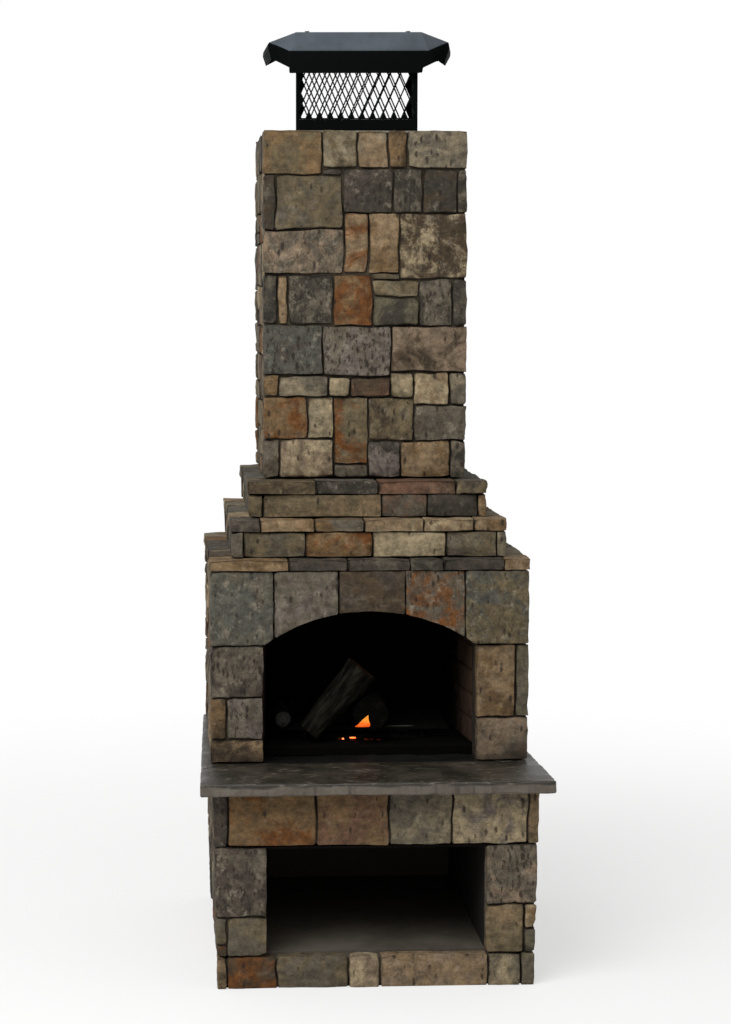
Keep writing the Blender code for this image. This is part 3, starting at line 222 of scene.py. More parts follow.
TONE_SHARES = (0.88, 1.12)
PATTERN_SPREAD = 20
# The power that keeps the painted shade and dirt at a stone's rim close to its joints
RIM_SHADE_POWER = 5
DRIFT_LIMIT_SHARE = 0.06
FINISH_SEED = 1000
SQUARE_ON = 0.9
TINY = 1e-9
ARCH_CUTS = 25
ARCH_ROUGHNESS_SHARE = 0.8
JAMB_STRETCH = 0.03

# Soot on the firebox stones, the lining and the hearth, and painted shade deep in the wood box
SOOT_WAVE = 0.09
SOOT_WOBBLE = 0.012
SOOT_RISE = 0.045
SOOT_BEHIND = 0.012
SOOT_FADE = 0.02
SOOT_MARGIN = 0.03
SOOT_LEFT_SHARE = 0.9
SOOT_RIGHT_SHARE = 0.75
SOOT_INSIDE_SHARE = 0.9
LINING_SOOT_DEPTH = (-0.12, 0.13)
LINING_SOOT_HEIGHT = (0.553, 0.565)
HEARTH_SOOT_SIDES = (-0.004, 0.010)
HEARTH_SOOT_FRONT = (-0.008, 0.006)
# Painted shade: the wood box's concrete darkens between these depths towards its back
BOX_PAINTED_SHADE_DEPTH = (-0.30, 0.20)

# Painted highlight on the top of the grate's front bar
HIGHLIGHT_MIDDLE = 0.095
HIGHLIGHT_REACH = (0.015, 0.045)
HIGHLIGHT_DEPTH = (0.006, 0.012)
HIGHLIGHT_HEIGHT = (-0.003, -0.001)

# Hearth flagstone
HEARTH_CUTS = 63
HEARTH_RIM_CELLS = 3
HEARTH_RADIUS = 0.005
HEARTH_WAVE = 0.30
HEARTH_SWELL = 0.0016
NOTCH_WAVE = 0.05
NOTCH_START = 0.25
NOTCH_RIM = 0.010
NOTCH_SIDE = 0.0022
HEARTH_GRAIN_WAVE = 0.02
HEARTH_GRAIN = 0.0006
DAMP_DROP = 0.012
DAMP_FADE = 0.004
DAMP_RISE_SHARE = 1.6

# Firebricks
BRICK_CUTS = 5
BRICK_LENGTH = 0.228
BRICK_HEIGHT = 0.0635
BRICK_JOINT = 0.004
BRICK_RELIEF = 0.0012
BRICK_RADIUS = 0.003
BRICK_ROUGHNESS_SHARE = 0.3
BRICK_BED = 0.005
BRICK_FINISH = ("umber", "char", 0.0)
SIDE_WALL_DEPTH = 0.030

# The lid's corners, from the end of the flap over the fold's start and middle to the tip of the wing
LID_SPOTS = 16
LID_RADIUS = 0.30
LID_INSET = 0.06
LID_RINGS = 3
LID_FOLD_SHARES = (0.0, 0.06, 0.66, 1.0)
LID_FRONT_SKIRT_SHARES = (1.0, 0.70, 0.98, 1.0)
LID_BACK_SKIRT_SHARES = (1.0, 0.50, 0.30, 0.88)
LID_FRONT_PINCH_SHARES = (1.0, 0.8, 0.4, 0.0)
LID_BACK_PINCH_SHARES = (0.0, 0.0, 0.0, 0.35)
LID_WAIST_SHARES = (0.5, 0.5, 0.4, 0.35)
LID_START_TUCK = (0.003, 0.003)
LID_MIDDLE_TUCK = (0.009, 0.008)
LID_BULGE = 0.004
LID_BULGE_SHARES = (0.0, 0.0, -0.5, 1.0)
LID_FOLD = 0.003
LID_FOLD_STEPS = 3
LID_FOLD_ANGLE = 6
LID_WELD = 0.0001
LID_ANGLE = 50

# Logs, with their waves and reliefs as shares of the radius
LOG_SIDES = 64
LOG_SLICES = 40
LOG_ANGLE = 45
END_RINGS = 3
END_RING_SHARE = 0.2
END_WAVE_SHARE = 0.5
END_RELIEF_SHARE = 0.04
END_FACE_SHARE = 0.93
BARK_LEVEL = 1.2
BARK_ROUND = 6
BARK_WAVE_SHARE = 0.35
BARK_STRETCH_SHARE = 0.18
BARK_RELIEF_SHARE = 0.035
RELIEF_POWER = 6
LUMP_WAVE_SHARE = 2.2
LUMP_RELIEF_SHARE = 0.045
WEDGE_SHARE = 0.42
TOUCH = 0.0001
LOGS = (
    ("log_leaning", "barked_log", "dim_bark", 81,
     (0.135, 0.13, 0.105), (0.055, 0.048, 0.036), (0.26, 0.16, 0.09), (0.14, 0.09, 0.06)),
    ("log_right", "charred_log", "charred_bark", 82,
     (0.03, 0.028, 0.024), (0.015, 0.014, 0.012), (0.028, 0.026, 0.022), (0.016, 0.015, 0.013)),
    ("log_ashy", "ashy_log", "ashy_bark", 83,
     (0.16, 0.155, 0.148), (0.07, 0.068, 0.064), (0.24, 0.236, 0.228), (0.155, 0.15, 0.145)),
)

# Ash, embers and flame. An ember has its place across and before the ash, its half width and its height.
ASH_CUTS = 47
ASH_WAVE = 0.09
ASH_FINE_WAVE = 0.025
ASH_RISE_SHARES = (0.72, 0.14, 0.10)
ASH_LEAST_SHARE = 0.04
ASH_EDGE_POWER = 6
SOFT_ANGLE = 60
EMBER_CUTS = 4
EMBER_HALF_DEPTH = 0.004
EMBER_RADIUS = 0.003
EMBER_ROUGHNESS_SHARE = 0.6
EMBER_TOP = 0.006
EMBER_FINISH = ("char", "char", 0.0)
HOT_EMBERS = ((-0.0565, 0.0270, 0.0038, 0.0072), (-0.0290, 0.0080, 0.0088, 0.0066))
FADING_EMBERS = (
    (-0.0655, 0.0240, 0.0040, 0.0080), (-0.0330, 0.0300, 0.0050, 0.0034), (0.0050, 0.0300, 0.0060, 0.0055),
    (0.0180, 0.0290, 0.0050, 0.0050), (0.0370, 0.0320, 0.0055, 0.0045))
FLAME_SIDES = 32
FLAME_SLICES = 12
FLAME_PLACE = (-0.0112, -0.003)
FLAME_LIFT = 0.0148
FLAME_ROOT = 0.001
FLAME_TIP_SHARE = 0.55
FLAME_EDGE = 0.004
FLAME_SWAY = 0.002
FLAME_SWAY_TURN = 7.0
FLAME_DEPTH_SHARE = 0.35

# Stage
FLOOR_SIZE = 60.0
FLOOR_DROP = 0.0006
FLOOR_FADE = (0.5, 4.0)
FLOOR_WHITE_SHARES = (0.55, 1.0)
LAMP_AIM = (0.0, 0.0, 1.1)
SENSOR_WIDTH = 36.0
CLIP_END = 200.0


# Selecting, shaping and finishing


def clear_selection():
    if bpy.context.mode != "OBJECT":
        bpy.ops.object.mode_set(mode="OBJECT")
    bpy.ops.object.select_all(action="DESELECT")


def choose(*objects):
    clear_selection()
    for obj in objects:
        obj.select_set(True)
    bpy.context.view_layer.objects.active = objects[0]


def edit_all():
    """Opens the active object's mesh and selects all of it."""
    bpy.ops.object.mode_set(mode="EDIT")
    bpy.ops.mesh.select_all(action="SELECT")


def cube(low, high):
    """A cube primitive between two corners, with its place in its mesh."""
    clear_selection()
    low, high = Vector(low), Vector(high)
    bpy.ops.mesh.primitive_cube_add(size=1.0, location=(low + high) / 2, scale=high - low)
    bpy.ops.object.transform_apply(location=True, rotation=True, scale=True)
    return bpy.context.object


def grid_cube(cuts):
    """A cube that reaches from -1 to 1, cut into a grid."""
    clear_selection()
    bpy.ops.mesh.primitive_cube_add(size=2.0)
    edit_all()
    bpy.ops.mesh.subdivide(number_cuts=cuts)
    bpy.ops.object.mode_set(mode="OBJECT")
    return bpy.context.object


def select_faces(obj, wanted):
    """Selects those faces of the open mesh that pass a test."""
    bpy.ops.mesh.select_all(action="DESELECT")
    bpy.ops.mesh.select_mode(type="FACE")
    shape = bmesh.from_edit_mesh(obj.data)
    for face in shape.faces:
        face.select_set(wanted(face))
    bmesh.update_edit_mesh(obj.data)


def slice_across(low, high, count):
    """Cuts the active upright shape across into slices of one height."""
    for step in range(1, count):
        edit_all()
        bpy.ops.mesh.bisect(plane_co=(0, 0, low + (high - low) * step / count), plane_no=(0, 0, 1))
        bpy.ops.object.mode_set(mode="OBJECT")


def join(name, parts):
    choose(*parts)
    if len(parts) > 1:
        bpy.ops.object.join()
    joined = bpy.context.object
    joined.name = joined.data.name = name
    return joined


def smooth(obj, degrees):
    choose(obj)
    bpy.ops.object.shade_smooth_by_angle(angle=math.radians(degrees))


def settle(obj, body, slot, *nodes):
    """The finished piece rides on its body and stands for its nodes, which are hidden. Its slot is not used.
    """
    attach(obj, body)
    if nodes:
        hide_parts(*nodes)


def complete(obj, name, material, degrees, *place):
    """Names a shaped piece, gives it its material and its smooth shading, and settles it."""
    obj.name = obj.data.name = name
    obj.data.materials.append(material)
    smooth(obj, degrees)
    settle(obj, *place)


def points_of(obj):
    flat = np.empty(len(obj.data.vertices) * 3)
    obj.data.vertices.foreach_get("co", flat)
    return flat.reshape(-1, 3)


def set_points(obj, points):
    obj.data.vertices.foreach_set("co", np.ascontiguousarray(points, dtype=np.float32).ravel())
    obj.data.update()


def write_vectors(obj, name, values):
    attribute = obj.data.attributes.get(name) or obj.data.attributes.new(name, "FLOAT_VECTOR", "POINT")
    attribute.data.foreach_set("vector", np.ascontiguousarray(values, dtype=np.float32).ravel())


# Colour and shader nodes


def linear(colour):
    return tuple(c / 12.92 if c <= 0.04045 else ((c + 0.055) / 1.055) ** 2.4 for c in colour)


class Nodes:
    """Short calls for the nodes of a material or of the sky."""

    def __init__(self, tree):
        self.tree = tree

    def feed(self, socket, value):
        if isinstance(value, bpy.types.NodeSocket):
            self.tree.links.new(value, socket)
        elif value is not None:
            socket.default_value = value

    def add(self, kind, feeds=None, **settings):
        """A node with its settings, and what feeds its sockets by name or number."""
        made = self.tree.nodes.new("ShaderNode" + kind)
        for key, value in settings.items():
            setattr(made, key, value)
        for socket, value in (feeds or {}).items():
            self.feed(made.inputs[socket], value)
        return made

    def maths(self, operation, first, second=None):
        return self.add("Math", {0: first, 1: second}, operation=operation).outputs["Value"]

    def times(self, first, second):
        return self.maths("MULTIPLY", first, second)

    def mix_surfaces(self, share, first, second, output):
        """Mixes two surfaces and feeds the output with them."""
        blend = self.add("MixShader", {0: share, 1: first.outputs[0], 2: second.outputs[0]})
        self.feed(self.tree.nodes[output].inputs["Surface"], blend.outputs[0])


class Shader(Nodes):
    """A material with its Principled shader. Plain colours are in display values."""

    def __init__(self, name, **values):
        self.material = bpy.data.materials.new(name)
        self.material.use_nodes = True
        super().__init__(self.material.node_tree)
        self.surface = self.tree.nodes["Principled BSDF"]
        self.place = self.add("TexCoord").outputs["Object"]
        for socket, value in values.items():
            self.surface.inputs[socket.replace("_", " ")].default_value = value

    def noise(self, vector, scale, detail=4.0, roughness=0.6, distortion=0.0, output="Fac"):
        feeds = {"Vector": vector, "Scale": scale, "Detail": detail, "Roughness": roughness,
                 "Distortion": distortion}
        return self.add("TexNoise", feeds).outputs[output]

    def cells(self, vector, scale):
        return self.add("TexVoronoi", {"Vector": vector, "Scale": scale}).outputs

    def ramp(self, value, low, high, out_low=0.0, out_high=1.0):
        feeds = {"Value": value, "From Min": low, "From Max": high, "To Min": out_low, "To Max": out_high}
        return self.add("MapRange", feeds, interpolation_type="SMOOTHSTEP").outputs["Result"]

    def vectors(self, operation, first, second):
        return self.add("VectorMath", {0: first, 1: second}, operation=operation).outputs["Vector"]

    def stretched(self, vector, factors):
        return self.vectors("MULTIPLY", vector, factors)

    def mix(self, share, first, second, blend="MIX", display=True):
        """Mixes two colours, given as sockets, as display values or as linear values."""
        feeds = {0: share}
        for socket, colour in ((6, first), (7, second)):
            if not isinstance(colour, bpy.types.NodeSocket):
                colour = (*(linear(colour) if display else colour), 1.0)
            feeds[socket] = colour
        return self.add("Mix", feeds, data_type="RGBA", blend_type=blend).outputs[2]

    def two_tone(self, value, low, high, first, second):
        return self.mix(self.ramp(value, low, high), first, second)

    def shade(self, colour, factor):
        """The colour times a grey factor."""
        grey = self.add("CombineColor", dict.fromkeys(range(3), factor))
        return self.mix(1.0, colour, grey.outputs["Color"], "MULTIPLY")

    def dapple(self, colour, value, low, high):
        """The colour, darker and lighter with a noise."""
        return self.shade(colour, self.ramp(value, 0.2, 0.8, low, high))

    def attribute(self, name):
        return self.add("Attribute", attribute_type="GEOMETRY", attribute_name=name).outputs["Vector"]

    def split(self, vector):
        return self.add("SeparateXYZ", {0: vector}).outputs

    def at(self, axis):
        """The place along one axis."""
        return self.split(self.place)[axis]

    def facing(self, axis):
        """How far the surface looks along one axis."""
        return self.split(self.add("NewGeometry").outputs["Normal"])[axis]

    def bump(self, height, distance, strength=1.0, under=None):
        feeds = {"Strength": strength, "Distance": distance, "Height": height, "Normal": under}
        return self.add("Bump", feeds).outputs["Normal"]

    def finish(self, colour, roughness, normal=None):
        self.feed(self.surface.inputs["Base Color"], colour)
        self.feed(self.surface.inputs["Roughness"], roughness)
        self.feed(self.surface.inputs["Normal"], normal)
        return self.material


def mottled(name, noise, reach, first, second, **values):
    """A shader whose two colours part along a noise. Gives the shader, the noise and the colour."""
    shader = Shader(name, **values)
    cloud = shader.noise(shader.place, *noise)
    return shader, cloud, shader.two_tone(cloud, *reach, first, second)


def tool_marks(shader, place, marks):
    """Upright dark ovals of mixed sizes and fine blots, as many as the stone's share of marks says."""
    upright = shader.stretched(place, (1.0, 1.0, 0.45))
    pull = shader.stretched(shader.noise(place, 90.0, 3.0, 0.5, 0.0, "Color"), (0.006, 0.006, 0.006))
    ovals = shader.cells(shader.vectors("ADD", upright, pull), 76.0)
    draws = shader.split(ovals["Color"])
    reach = shader.maths("ADD", ovals["Distance"], shader.times(draws[1], 0.22))
    near = shader.ramp(reach, 0.22, 0.50, 1.0, 0.0)
    chosen = shader.maths("LESS_THAN", draws[0], shader.times(marks, 0.60))
    blots = shader.ramp(shader.noise(upright, 105.0, 4.0, 0.65, 0.3), 0.54, 0.64)
    blots = shader.times(blots, shader.times(marks, marks))
    return shader.maths("MAXIMUM", shader.times(near, chosen), blots)


def fieldstone_material():
    """Split fieldstone: a stone's own two colours, weathering, layers, tool marks, grain and a rim darkened
    by painted shade with some dirt.
    """
    shader = Shader("fieldstone", Specular_IOR_Level=0.22)
    place = shader.vectors("ADD", shader.place, shader.attribute("stone_place"))
    marks, rim, soot = shader.split(shader.attribute("wear_and_rim_shade"))
    mottle = shader.noise(place, 12.0, 8.0, 0.7, 0.6)
    main, second = shader.attribute("main_colour"), shader.attribute("second_colour")
    colour = shader.two_tone(mottle, 0.44, 0.60, main, second)
    weather = shader.noise(shader.vectors("ADD", place, (3.1, 7.7, 1.3)), 38.0, 6.0, 0.70)
    worn = shader.ramp(marks, 0.25, 0.7, 0.35, 1.0)
    weather = shader.times(shader.ramp(weather, 0.53, 0.66, 0.0, 0.50), worn)
    colour = shader.mix(weather, colour, (0.50, 0.465, 0.405))
    layers = shader.noise(shader.stretched(place, (1.0, 1.0, 5.0)), 17.0, 4.0, 0.6, 0.3)
    layers = shader.ramp(layers, 0.3, 0.7, 0.86, 1.12)
    colour = shader.shade(colour, shader.maths("MAXIMUM", layers, shader.ramp(marks, 0.2, 0.6)))
    cloud = shader.noise(place, 42.0, 6.0, 0.72)
    colour = shader.shade(colour, shader.ramp(cloud, 0.28, 0.72, 0.50, 1.42))
    streak = tool_marks(shader, place, marks)
    colour = shader.mix(shader.times(streak, 0.80), colour, (0.125, 0.098, 0.078))
    grain = shader.noise(place, 240.0, 5.0, 0.75)
    colour = shader.dapple(colour, grain, 0.74, 1.24)
    # Painted shade with some dirt: the stone darkens at its rim, near the joints
    colour = shader.mix(shader.times(rim, 0.60), colour, (0.12, 0.105, 0.085))
    haze = shader.times(soot, shader.ramp(cloud, 0.2, 0.6, 0.75, 1.0))
    colour = shader.mix(haze, colour, (0.085, 0.07, 0.06))
    normal = shader.bump(cloud, 0.007, 0.65)
    normal = shader.bump(grain, 0.0018, 0.7, normal)
    normal = shader.bump(shader.maths("SUBTRACT", 1.0, streak), 0.0018, 0.5, normal)
    return shader.finish(colour, shader.ramp(cloud, 0.2, 0.8, 0.74, 0.96), normal)


def mortar_material():
    """Deep, dark, gritty bedding between the stones, washed paler where it faces the sky."""
    shader, _, colour = mottled("bedding_mortar", (9.0, 4.0), (0.40, 0.62), (0.13, 0.115, 0.095),
                                (0.29, 0.26, 0.215), Specular_IOR_Level=0.1)
    grit = shader.noise(shader.place, 180.0, 4.0, 0.7)
    colour = shader.mix(shader.ramp(shader.facing(2), 0.5, 0.9), colour, (0.31, 0.285, 0.25))
    return shader.finish(shader.dapple(colour, grit, 0.7, 1.2), 0.97, shader.bump(grit, 0.002, 0.8))


def concrete_material(name, tone, dark, painted_shade_depth=None):
    """Cast concrete with stains and pits. It can take painted shade: darker from a place behind the front,
    and far darker on faces that look sideways.
    """
    shader, stain, colour = mottled(name, (5.0, 5.0, 0.65), (0.35, 0.68), tone, dark, Specular_IOR_Level=0.2)
    grain = shader.noise(shader.place, 320.0, 3.0, 0.7)
    colour = shader.dapple(colour, grain, 0.85, 1.12)
    if painted_shade_depth:
        # Painted shade in the wood box: darker towards its back, and far darker on its side walls
        colour = shader.mix(shader.ramp(shader.at(1), *painted_shade_depth), colour, (0.23, 0.21, 0.175))
        painted_side_shade = shader.ramp(shader.maths("ABSOLUTE", shader.facing(0)), 0.3, 0.8, 0.0, 0.95)
        colour = shader.mix(painted_side_shade, colour, (0.07, 0.055, 0.045))
    pits = shader.ramp(shader.cells(shader.place, 90.0)["Distance"], 0.0, 0.12)
    normal = shader.bump(grain, 0.001, 0.5, shader.bump(pits, 0.0015, 0.5))
    return shader.finish(colour, shader.ramp(stain, 0.2, 0.8, 0.8, 0.98), normal)


def clay_material():
    """Fired flue clay with sooty patches."""
    shader, _, colour = mottled("flue_clay", (16.0, 5.0), (0.4, 0.65), (0.62, 0.40, 0.28), (0.30, 0.21, 0.17))
    grain = shader.noise(shader.place, 240.0, 3.0, 0.7)
    return shader.finish(shader.dapple(colour, grain, 0.85, 1.1), 0.85, shader.bump(grain, 0.0012, 0.5))


def firebrick_material():
    """Firebrick under soot, a little redder towards the front."""
    shader = Shader("sooty_firebrick", Specular_IOR_Level=0.02)
    place = shader.vectors("ADD", shader.place, shader.attribute("stone_place"))
    cloud = shader.noise(place, 20.0, 5.0, 0.65)
    brick = shader.mix(cloud, (0.255, 0.195, 0.16), (0.21, 0.165, 0.135))
    sooty = shader.mix(cloud, (0.025, 0.024, 0.020), (0.045, 0.042, 0.035))
    near = shader.maths("ADD", shader.at(1), shader.ramp(cloud, 0.3, 0.7, -0.05, 0.05))
    share = shader.maths("MAXIMUM", shader.ramp(near, *LINING_SOOT_DEPTH),
                         shader.ramp(shader.at(2), *LINING_SOOT_HEIGHT, 1.0, 0.0))
    # Painted shade with some dirt at the brick edges, from the same rim value as the stones
    rim = shader.times(shader.split(shader.attribute("wear_and_rim_shade"))[1], 0.3)
    colour = shader.mix(rim, shader.mix(share, brick, sooty), (0.04, 0.035, 0.03))
    return shader.finish(colour, 0.9, shader.bump(shader.noise(place, 230.0, 3.0, 0.7), 0.0014, 0.6))


def soot_material():
    """Joints of the lining under soot."""
    shader = Shader("sooty_joint", Specular_IOR_Level=0.02)
    grit = shader.noise(shader.place, 160.0, 3.0, 0.7)
    colour = shader.mix(grit, (0.02, 0.019, 0.016), (0.04, 0.036, 0.03))
    near = shader.times(shader.ramp(shader.at(1), *LINING_SOOT_DEPTH, 1.0, 0.0),
                        shader.ramp(shader.at(2), *LINING_SOOT_HEIGHT))
    return shader.finish(shader.mix(near, colour, (0.20, 0.16, 0.135)), 0.97, shader.bump(grit, 0.001, 0.5))


def hearth_material():
    """The flagstone: damp and dark on top, paler and streaked at its split edge, sooty in the opening."""
    shader = Shader("hearth_flagstone", Specular_IOR_Level=0.4)
    top = shader.split(shader.attribute("wear_and_rim_shade"))[2]
    cloud = shader.noise(shader.place, 9.0, 6.0, 0.65, 0.5)
    grain = shader.noise(shader.place, 300.0, 3.0, 0.7)
    fleck = shader.noise(shader.stretched(shader.place, (0.5, 1.0, 1.0)), 62.0, 4.0, 0.62, 0.4)
    damp = shader.two_tone(cloud, 0.38, 0.62, (0.118, 0.105, 0.083), (0.185, 0.163, 0.128))
    damp = shader.mix(shader.ramp(fleck, 0.57, 0.66, 0.0, 0.50), damp, (0.43, 0.40, 0.35))
    streak = shader.noise(shader.stretched(shader.place, (1.0, 1.0, 0.10)), 42.0, 4.0, 0.65)
    edge = shader.two_tone(cloud, 0.35, 0.65, (0.365, 0.34, 0.305), (0.31, 0.28, 0.25))
    edge = shader.mix(shader.ramp(streak, 0.52, 0.68, 0.0, 0.65), edge, (0.19, 0.165, 0.15))
    colour = shader.dapple(shader.mix(top, edge, damp), grain, 0.80, 1.16)
    sides = [OPENING_HALF + reach for reach in HEARTH_SOOT_SIDES]
    front = [FIREBOX_FRONT + reach for reach in HEARTH_SOOT_FRONT]
    inside = shader.ramp(shader.maths("ABSOLUTE", shader.at(0)), *sides, 1.0, 0.0)
    behind = shader.maths("ADD", shader.at(1), shader.ramp(cloud, 0.35, 0.65, -0.006, 0.006))
    colour = shader.mix(shader.times(inside, shader.ramp(behind, *front)), colour, (0.03, 0.03, 0.026))
    wet = shader.maths("ADD", shader.times(top, -0.39), 0.85)
    gloss = shader.maths("ADD", wet, shader.ramp(cloud, 0.3, 0.7, -0.08, 0.12))
    return shader.finish(colour, gloss, shader.bump(grain, 0.0014, 0.5, shader.bump(cloud, 0.006, 0.5)))


def painted_metal_material():
    """Satin black paint on folded sheet, with faint orange peel, and a pale bluish painted sky reflection
    with chalky dust on what faces the sky.
    """
    shader = Shader("black_metal", Metallic=0.0, Specular_IOR_Level=0.01)
    chalk = shader.noise(shader.place, 14.0, 6.0, 0.65)
    # Painted sky reflection with some chalky dust: faces that look up turn a pale bluish grey
    dust_and_sky_sheen = shader.times(shader.ramp(shader.facing(2), 0.30, 0.46), shader.ramp(chalk, 0.3, 0.7, 0.75, 1.0))
    black = shader.mix(chalk, (0.018, 0.029, 0.026), (0.036, 0.047, 0.043))
    colour = shader.mix(dust_and_sky_sheen, black, (0.298, 0.322, 0.346))
    peel = shader.bump(shader.noise(shader.place, 520.0, 2.0), 0.0004, 0.4)
    return shader.finish(colour, shader.ramp(chalk, 0.3, 0.7, 0.5, 0.66), peel)


def steel_material():
    """Dull steel with spots of rust."""
    shader, rust, colour = mottled("dull_steel", (90.0, 5.0, 0.65), (0.5, 0.66), (0.42, 0.41, 0.40),
                                   (0.30, 0.19, 0.13), Metallic=0.9)
    return shader.finish(colour, shader.ramp(rust, 0.3, 0.7, 0.35, 0.8), shader.bump(rust, 0.0005, 0.4))


def bar_rust_and_painted_shade_material():
    """The lintel bar, brown with rust and soot, and kept near black as painted shade for the shadow under the
    lintel course.
    """
    # Painted shade: the bar is kept near black so that it passes for the shadow under the lintel course
    shader, scale, colour = mottled("rusty_bar_painted_shade", (120.0, 5.0, 0.7), (0.4, 0.65), (0.035, 0.03, 0.026),
                                    (0.06, 0.045, 0.035), Specular_IOR_Level=0.03)
    return shader.finish(colour, 0.9, shader.bump(scale, 0.0008, 0.6))


def iron_material():
    """Sooty iron, with a pale painted highlight on a stretch of the front bar's top."""
    shader, scale, colour = mottled("burnt_iron", (140.0, 5.0, 0.7), (0.4, 0.65), (0.03, 0.03, 0.026),
                                    (0.065, 0.06, 0.052), Specular_IOR_Level=0.03)
    low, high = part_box("log_grate")
    # Painted highlight: a pale stretch on the top front of the grate's front bar
    off_middle = shader.maths("ABSOLUTE", shader.maths("SUBTRACT", shader.at(0), HIGHLIGHT_MIDDLE))
    front = [low.y + reach for reach in HIGHLIGHT_DEPTH]
    top = [high.z + reach for reach in HIGHLIGHT_HEIGHT]
    near = shader.ramp(shader.at(1), *front, 1.0, 0.0)
    painted_highlight = shader.times(shader.ramp(off_middle, *HIGHLIGHT_REACH, 1.0, 0.0), near)
    colour = shader.mix(shader.times(painted_highlight, shader.ramp(shader.at(2), *top)), colour, (0.27, 0.265, 0.245))
    return shader.finish(colour, 0.9, shader.bump(scale, 0.0012, 0.7))


def bark_material(name, bark, crevice, cut, cut_dark):
    """Bark along the log and rings on its sawn ends, by its own places along, round and on an end."""
    shader = Shader(name, Specular_IOR_Level=0.03)
    along, around, end = shader.split(shader.attribute("log_place"))
    lengthwise = shader.add("CombineXYZ", {0: shader.times(along, 12.0), 1: shader.times(around, 70.0)})
    ridge = shader.noise(lengthwise.outputs[0], 1.0, 5.0, 0.7, 0.4)
    cloud = shader.noise(shader.place, 34.0, 5.0, 0.65)
    skin = shader.two_tone(ridge, 0.42, 0.62, crevice, bark)
    skin = shader.shade(skin, shader.ramp(cloud, 0.25, 0.75, 0.6, 1.3))
    radius = shader.split(shader.attribute("end_place"))[0]
    rings = shader.maths("SINE", shader.maths("ADD", shader.times(radius, 1300.0), shader.times(cloud, 6.0)))
    wood = shader.two_tone(rings, -0.6, 0.9, cut_dark, cut)
    wood = shader.mix(shader.ramp(cloud, 0.5, 0.7, 0.0, 0.7), wood, (0.08, 0.06, 0.05))
    return shader.finish(shader.mix(end, skin, wood), 0.92, shader.bump(ridge, 0.004, 0.8))


def ash_material():
    """Grey ash and charcoal."""
    shader, cloud, colour = mottled("ash", (60.0, 5.0, 0.7), (0.42, 0.62), (0.03, 0.028, 0.025),
                                    (0.10, 0.095, 0.085), Specular_IOR_Level=0.02)
    lump = shader.cells(shader.place, 70.0)["Distance"]
    return shader.finish(colour, 0.97, shader.bump(shader.maths("ADD", cloud, lump), 0.004, 0.8))


def glow_material(name, cool, hot, strength, low, high):
    """A glow that goes from one colour at a low height to another at a high one, in linear values."""
    shader = Shader(name, Specular_IOR_Level=0.0, Emission_Strength=strength,
                    Base_Color=(0.02, 0.01, 0.005, 1.0))
    flicker = shader.ramp(shader.noise(shader.place, 60.0), 0.3, 0.7, -0.003, 0.003)
    share = shader.ramp(shader.maths("ADD", shader.at(2), flicker), low, high)
    shader.feed(shader.surface.inputs["Emission Color"], shader.mix(share, cool, hot, display=False))
    return shader.finish(None, 0.9)


MAKERS = {
    "fieldstone": fieldstone_material,
    "mortar": mortar_material,
    "firebrick": firebrick_material,
    "soot": soot_material,
    "hearth": hearth_material,
    "clay": clay_material,
    "paint": painted_metal_material,
    "steel": steel_material,
    "iron": iron_material,
    "ash": ash_material,
}
MADE = {}


def finish_of(name):
    """A material by its short name, made at its first use."""
    if name not in MADE:
        MADE[name] = MAKERS[name]()
    return MADE[name]


def dress(node, material):
    """A CAD node that stays gets a finish."""
    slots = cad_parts[node].data.materials
    slots.clear()
    slots.append(material)


# Stones


def model_pattern(cuts, open_back):
    """A cube cut into a grid, from which stones are dressed. Its back can be one plain face."""
    pattern = grid_cube(cuts)
    if open_back:
        bpy.ops.object.mode_set(mode="EDIT")
        select_faces(pattern, lambda face: face.normal.y > SQUARE_ON)
        bpy.ops.mesh.dissolve_faces()
        bpy.ops.object.mode_set(mode="OBJECT")
    pattern["band"] = 1.0 - 2.0 * min(RIM_CELLS, (cuts + 1) // 3) / (cuts + 1)
    return pattern


def ripples(points, length, rng):
    """A smooth random height at each point, from waves of about one length in all directions."""
    heading = rng.normal(size=(3, WAVES))
    heading /= np.linalg.norm(heading, axis=0)
    pace = 2 * math.pi / (length * rng.uniform(*WAVE_LENGTH_SHARES, WAVES))
    return np.sin(points @ (heading * pace) + rng.uniform(0, 2 * math.pi, WAVES)).sum(1) / math.sqrt(WAVES)


def rounded_box(points, band, low, high, radius):
    """Puts the pattern's grid on a box with rounded edges. Gives the points and their directions outwards."""
    centre, half = (low + high) / 2, (high - low) / 2
    radius = min(radius, RADIUS_LIMIT_SHARE * half.min())
    share = np.abs(points)
    flat = share / band * (half - radius)
    rim = half - radius + (share - band) / (1.0 - band) * radius
    spread = np.sign(points) * np.where(share <= band, flat, rim)
    core = np.clip(spread, radius - half, half - radius)
    outward = spread - core
    outward /= np.maximum(np.linalg.norm(outward, axis=1, keepdims=True), TINY)
    return centre + core + outward * radius, outward


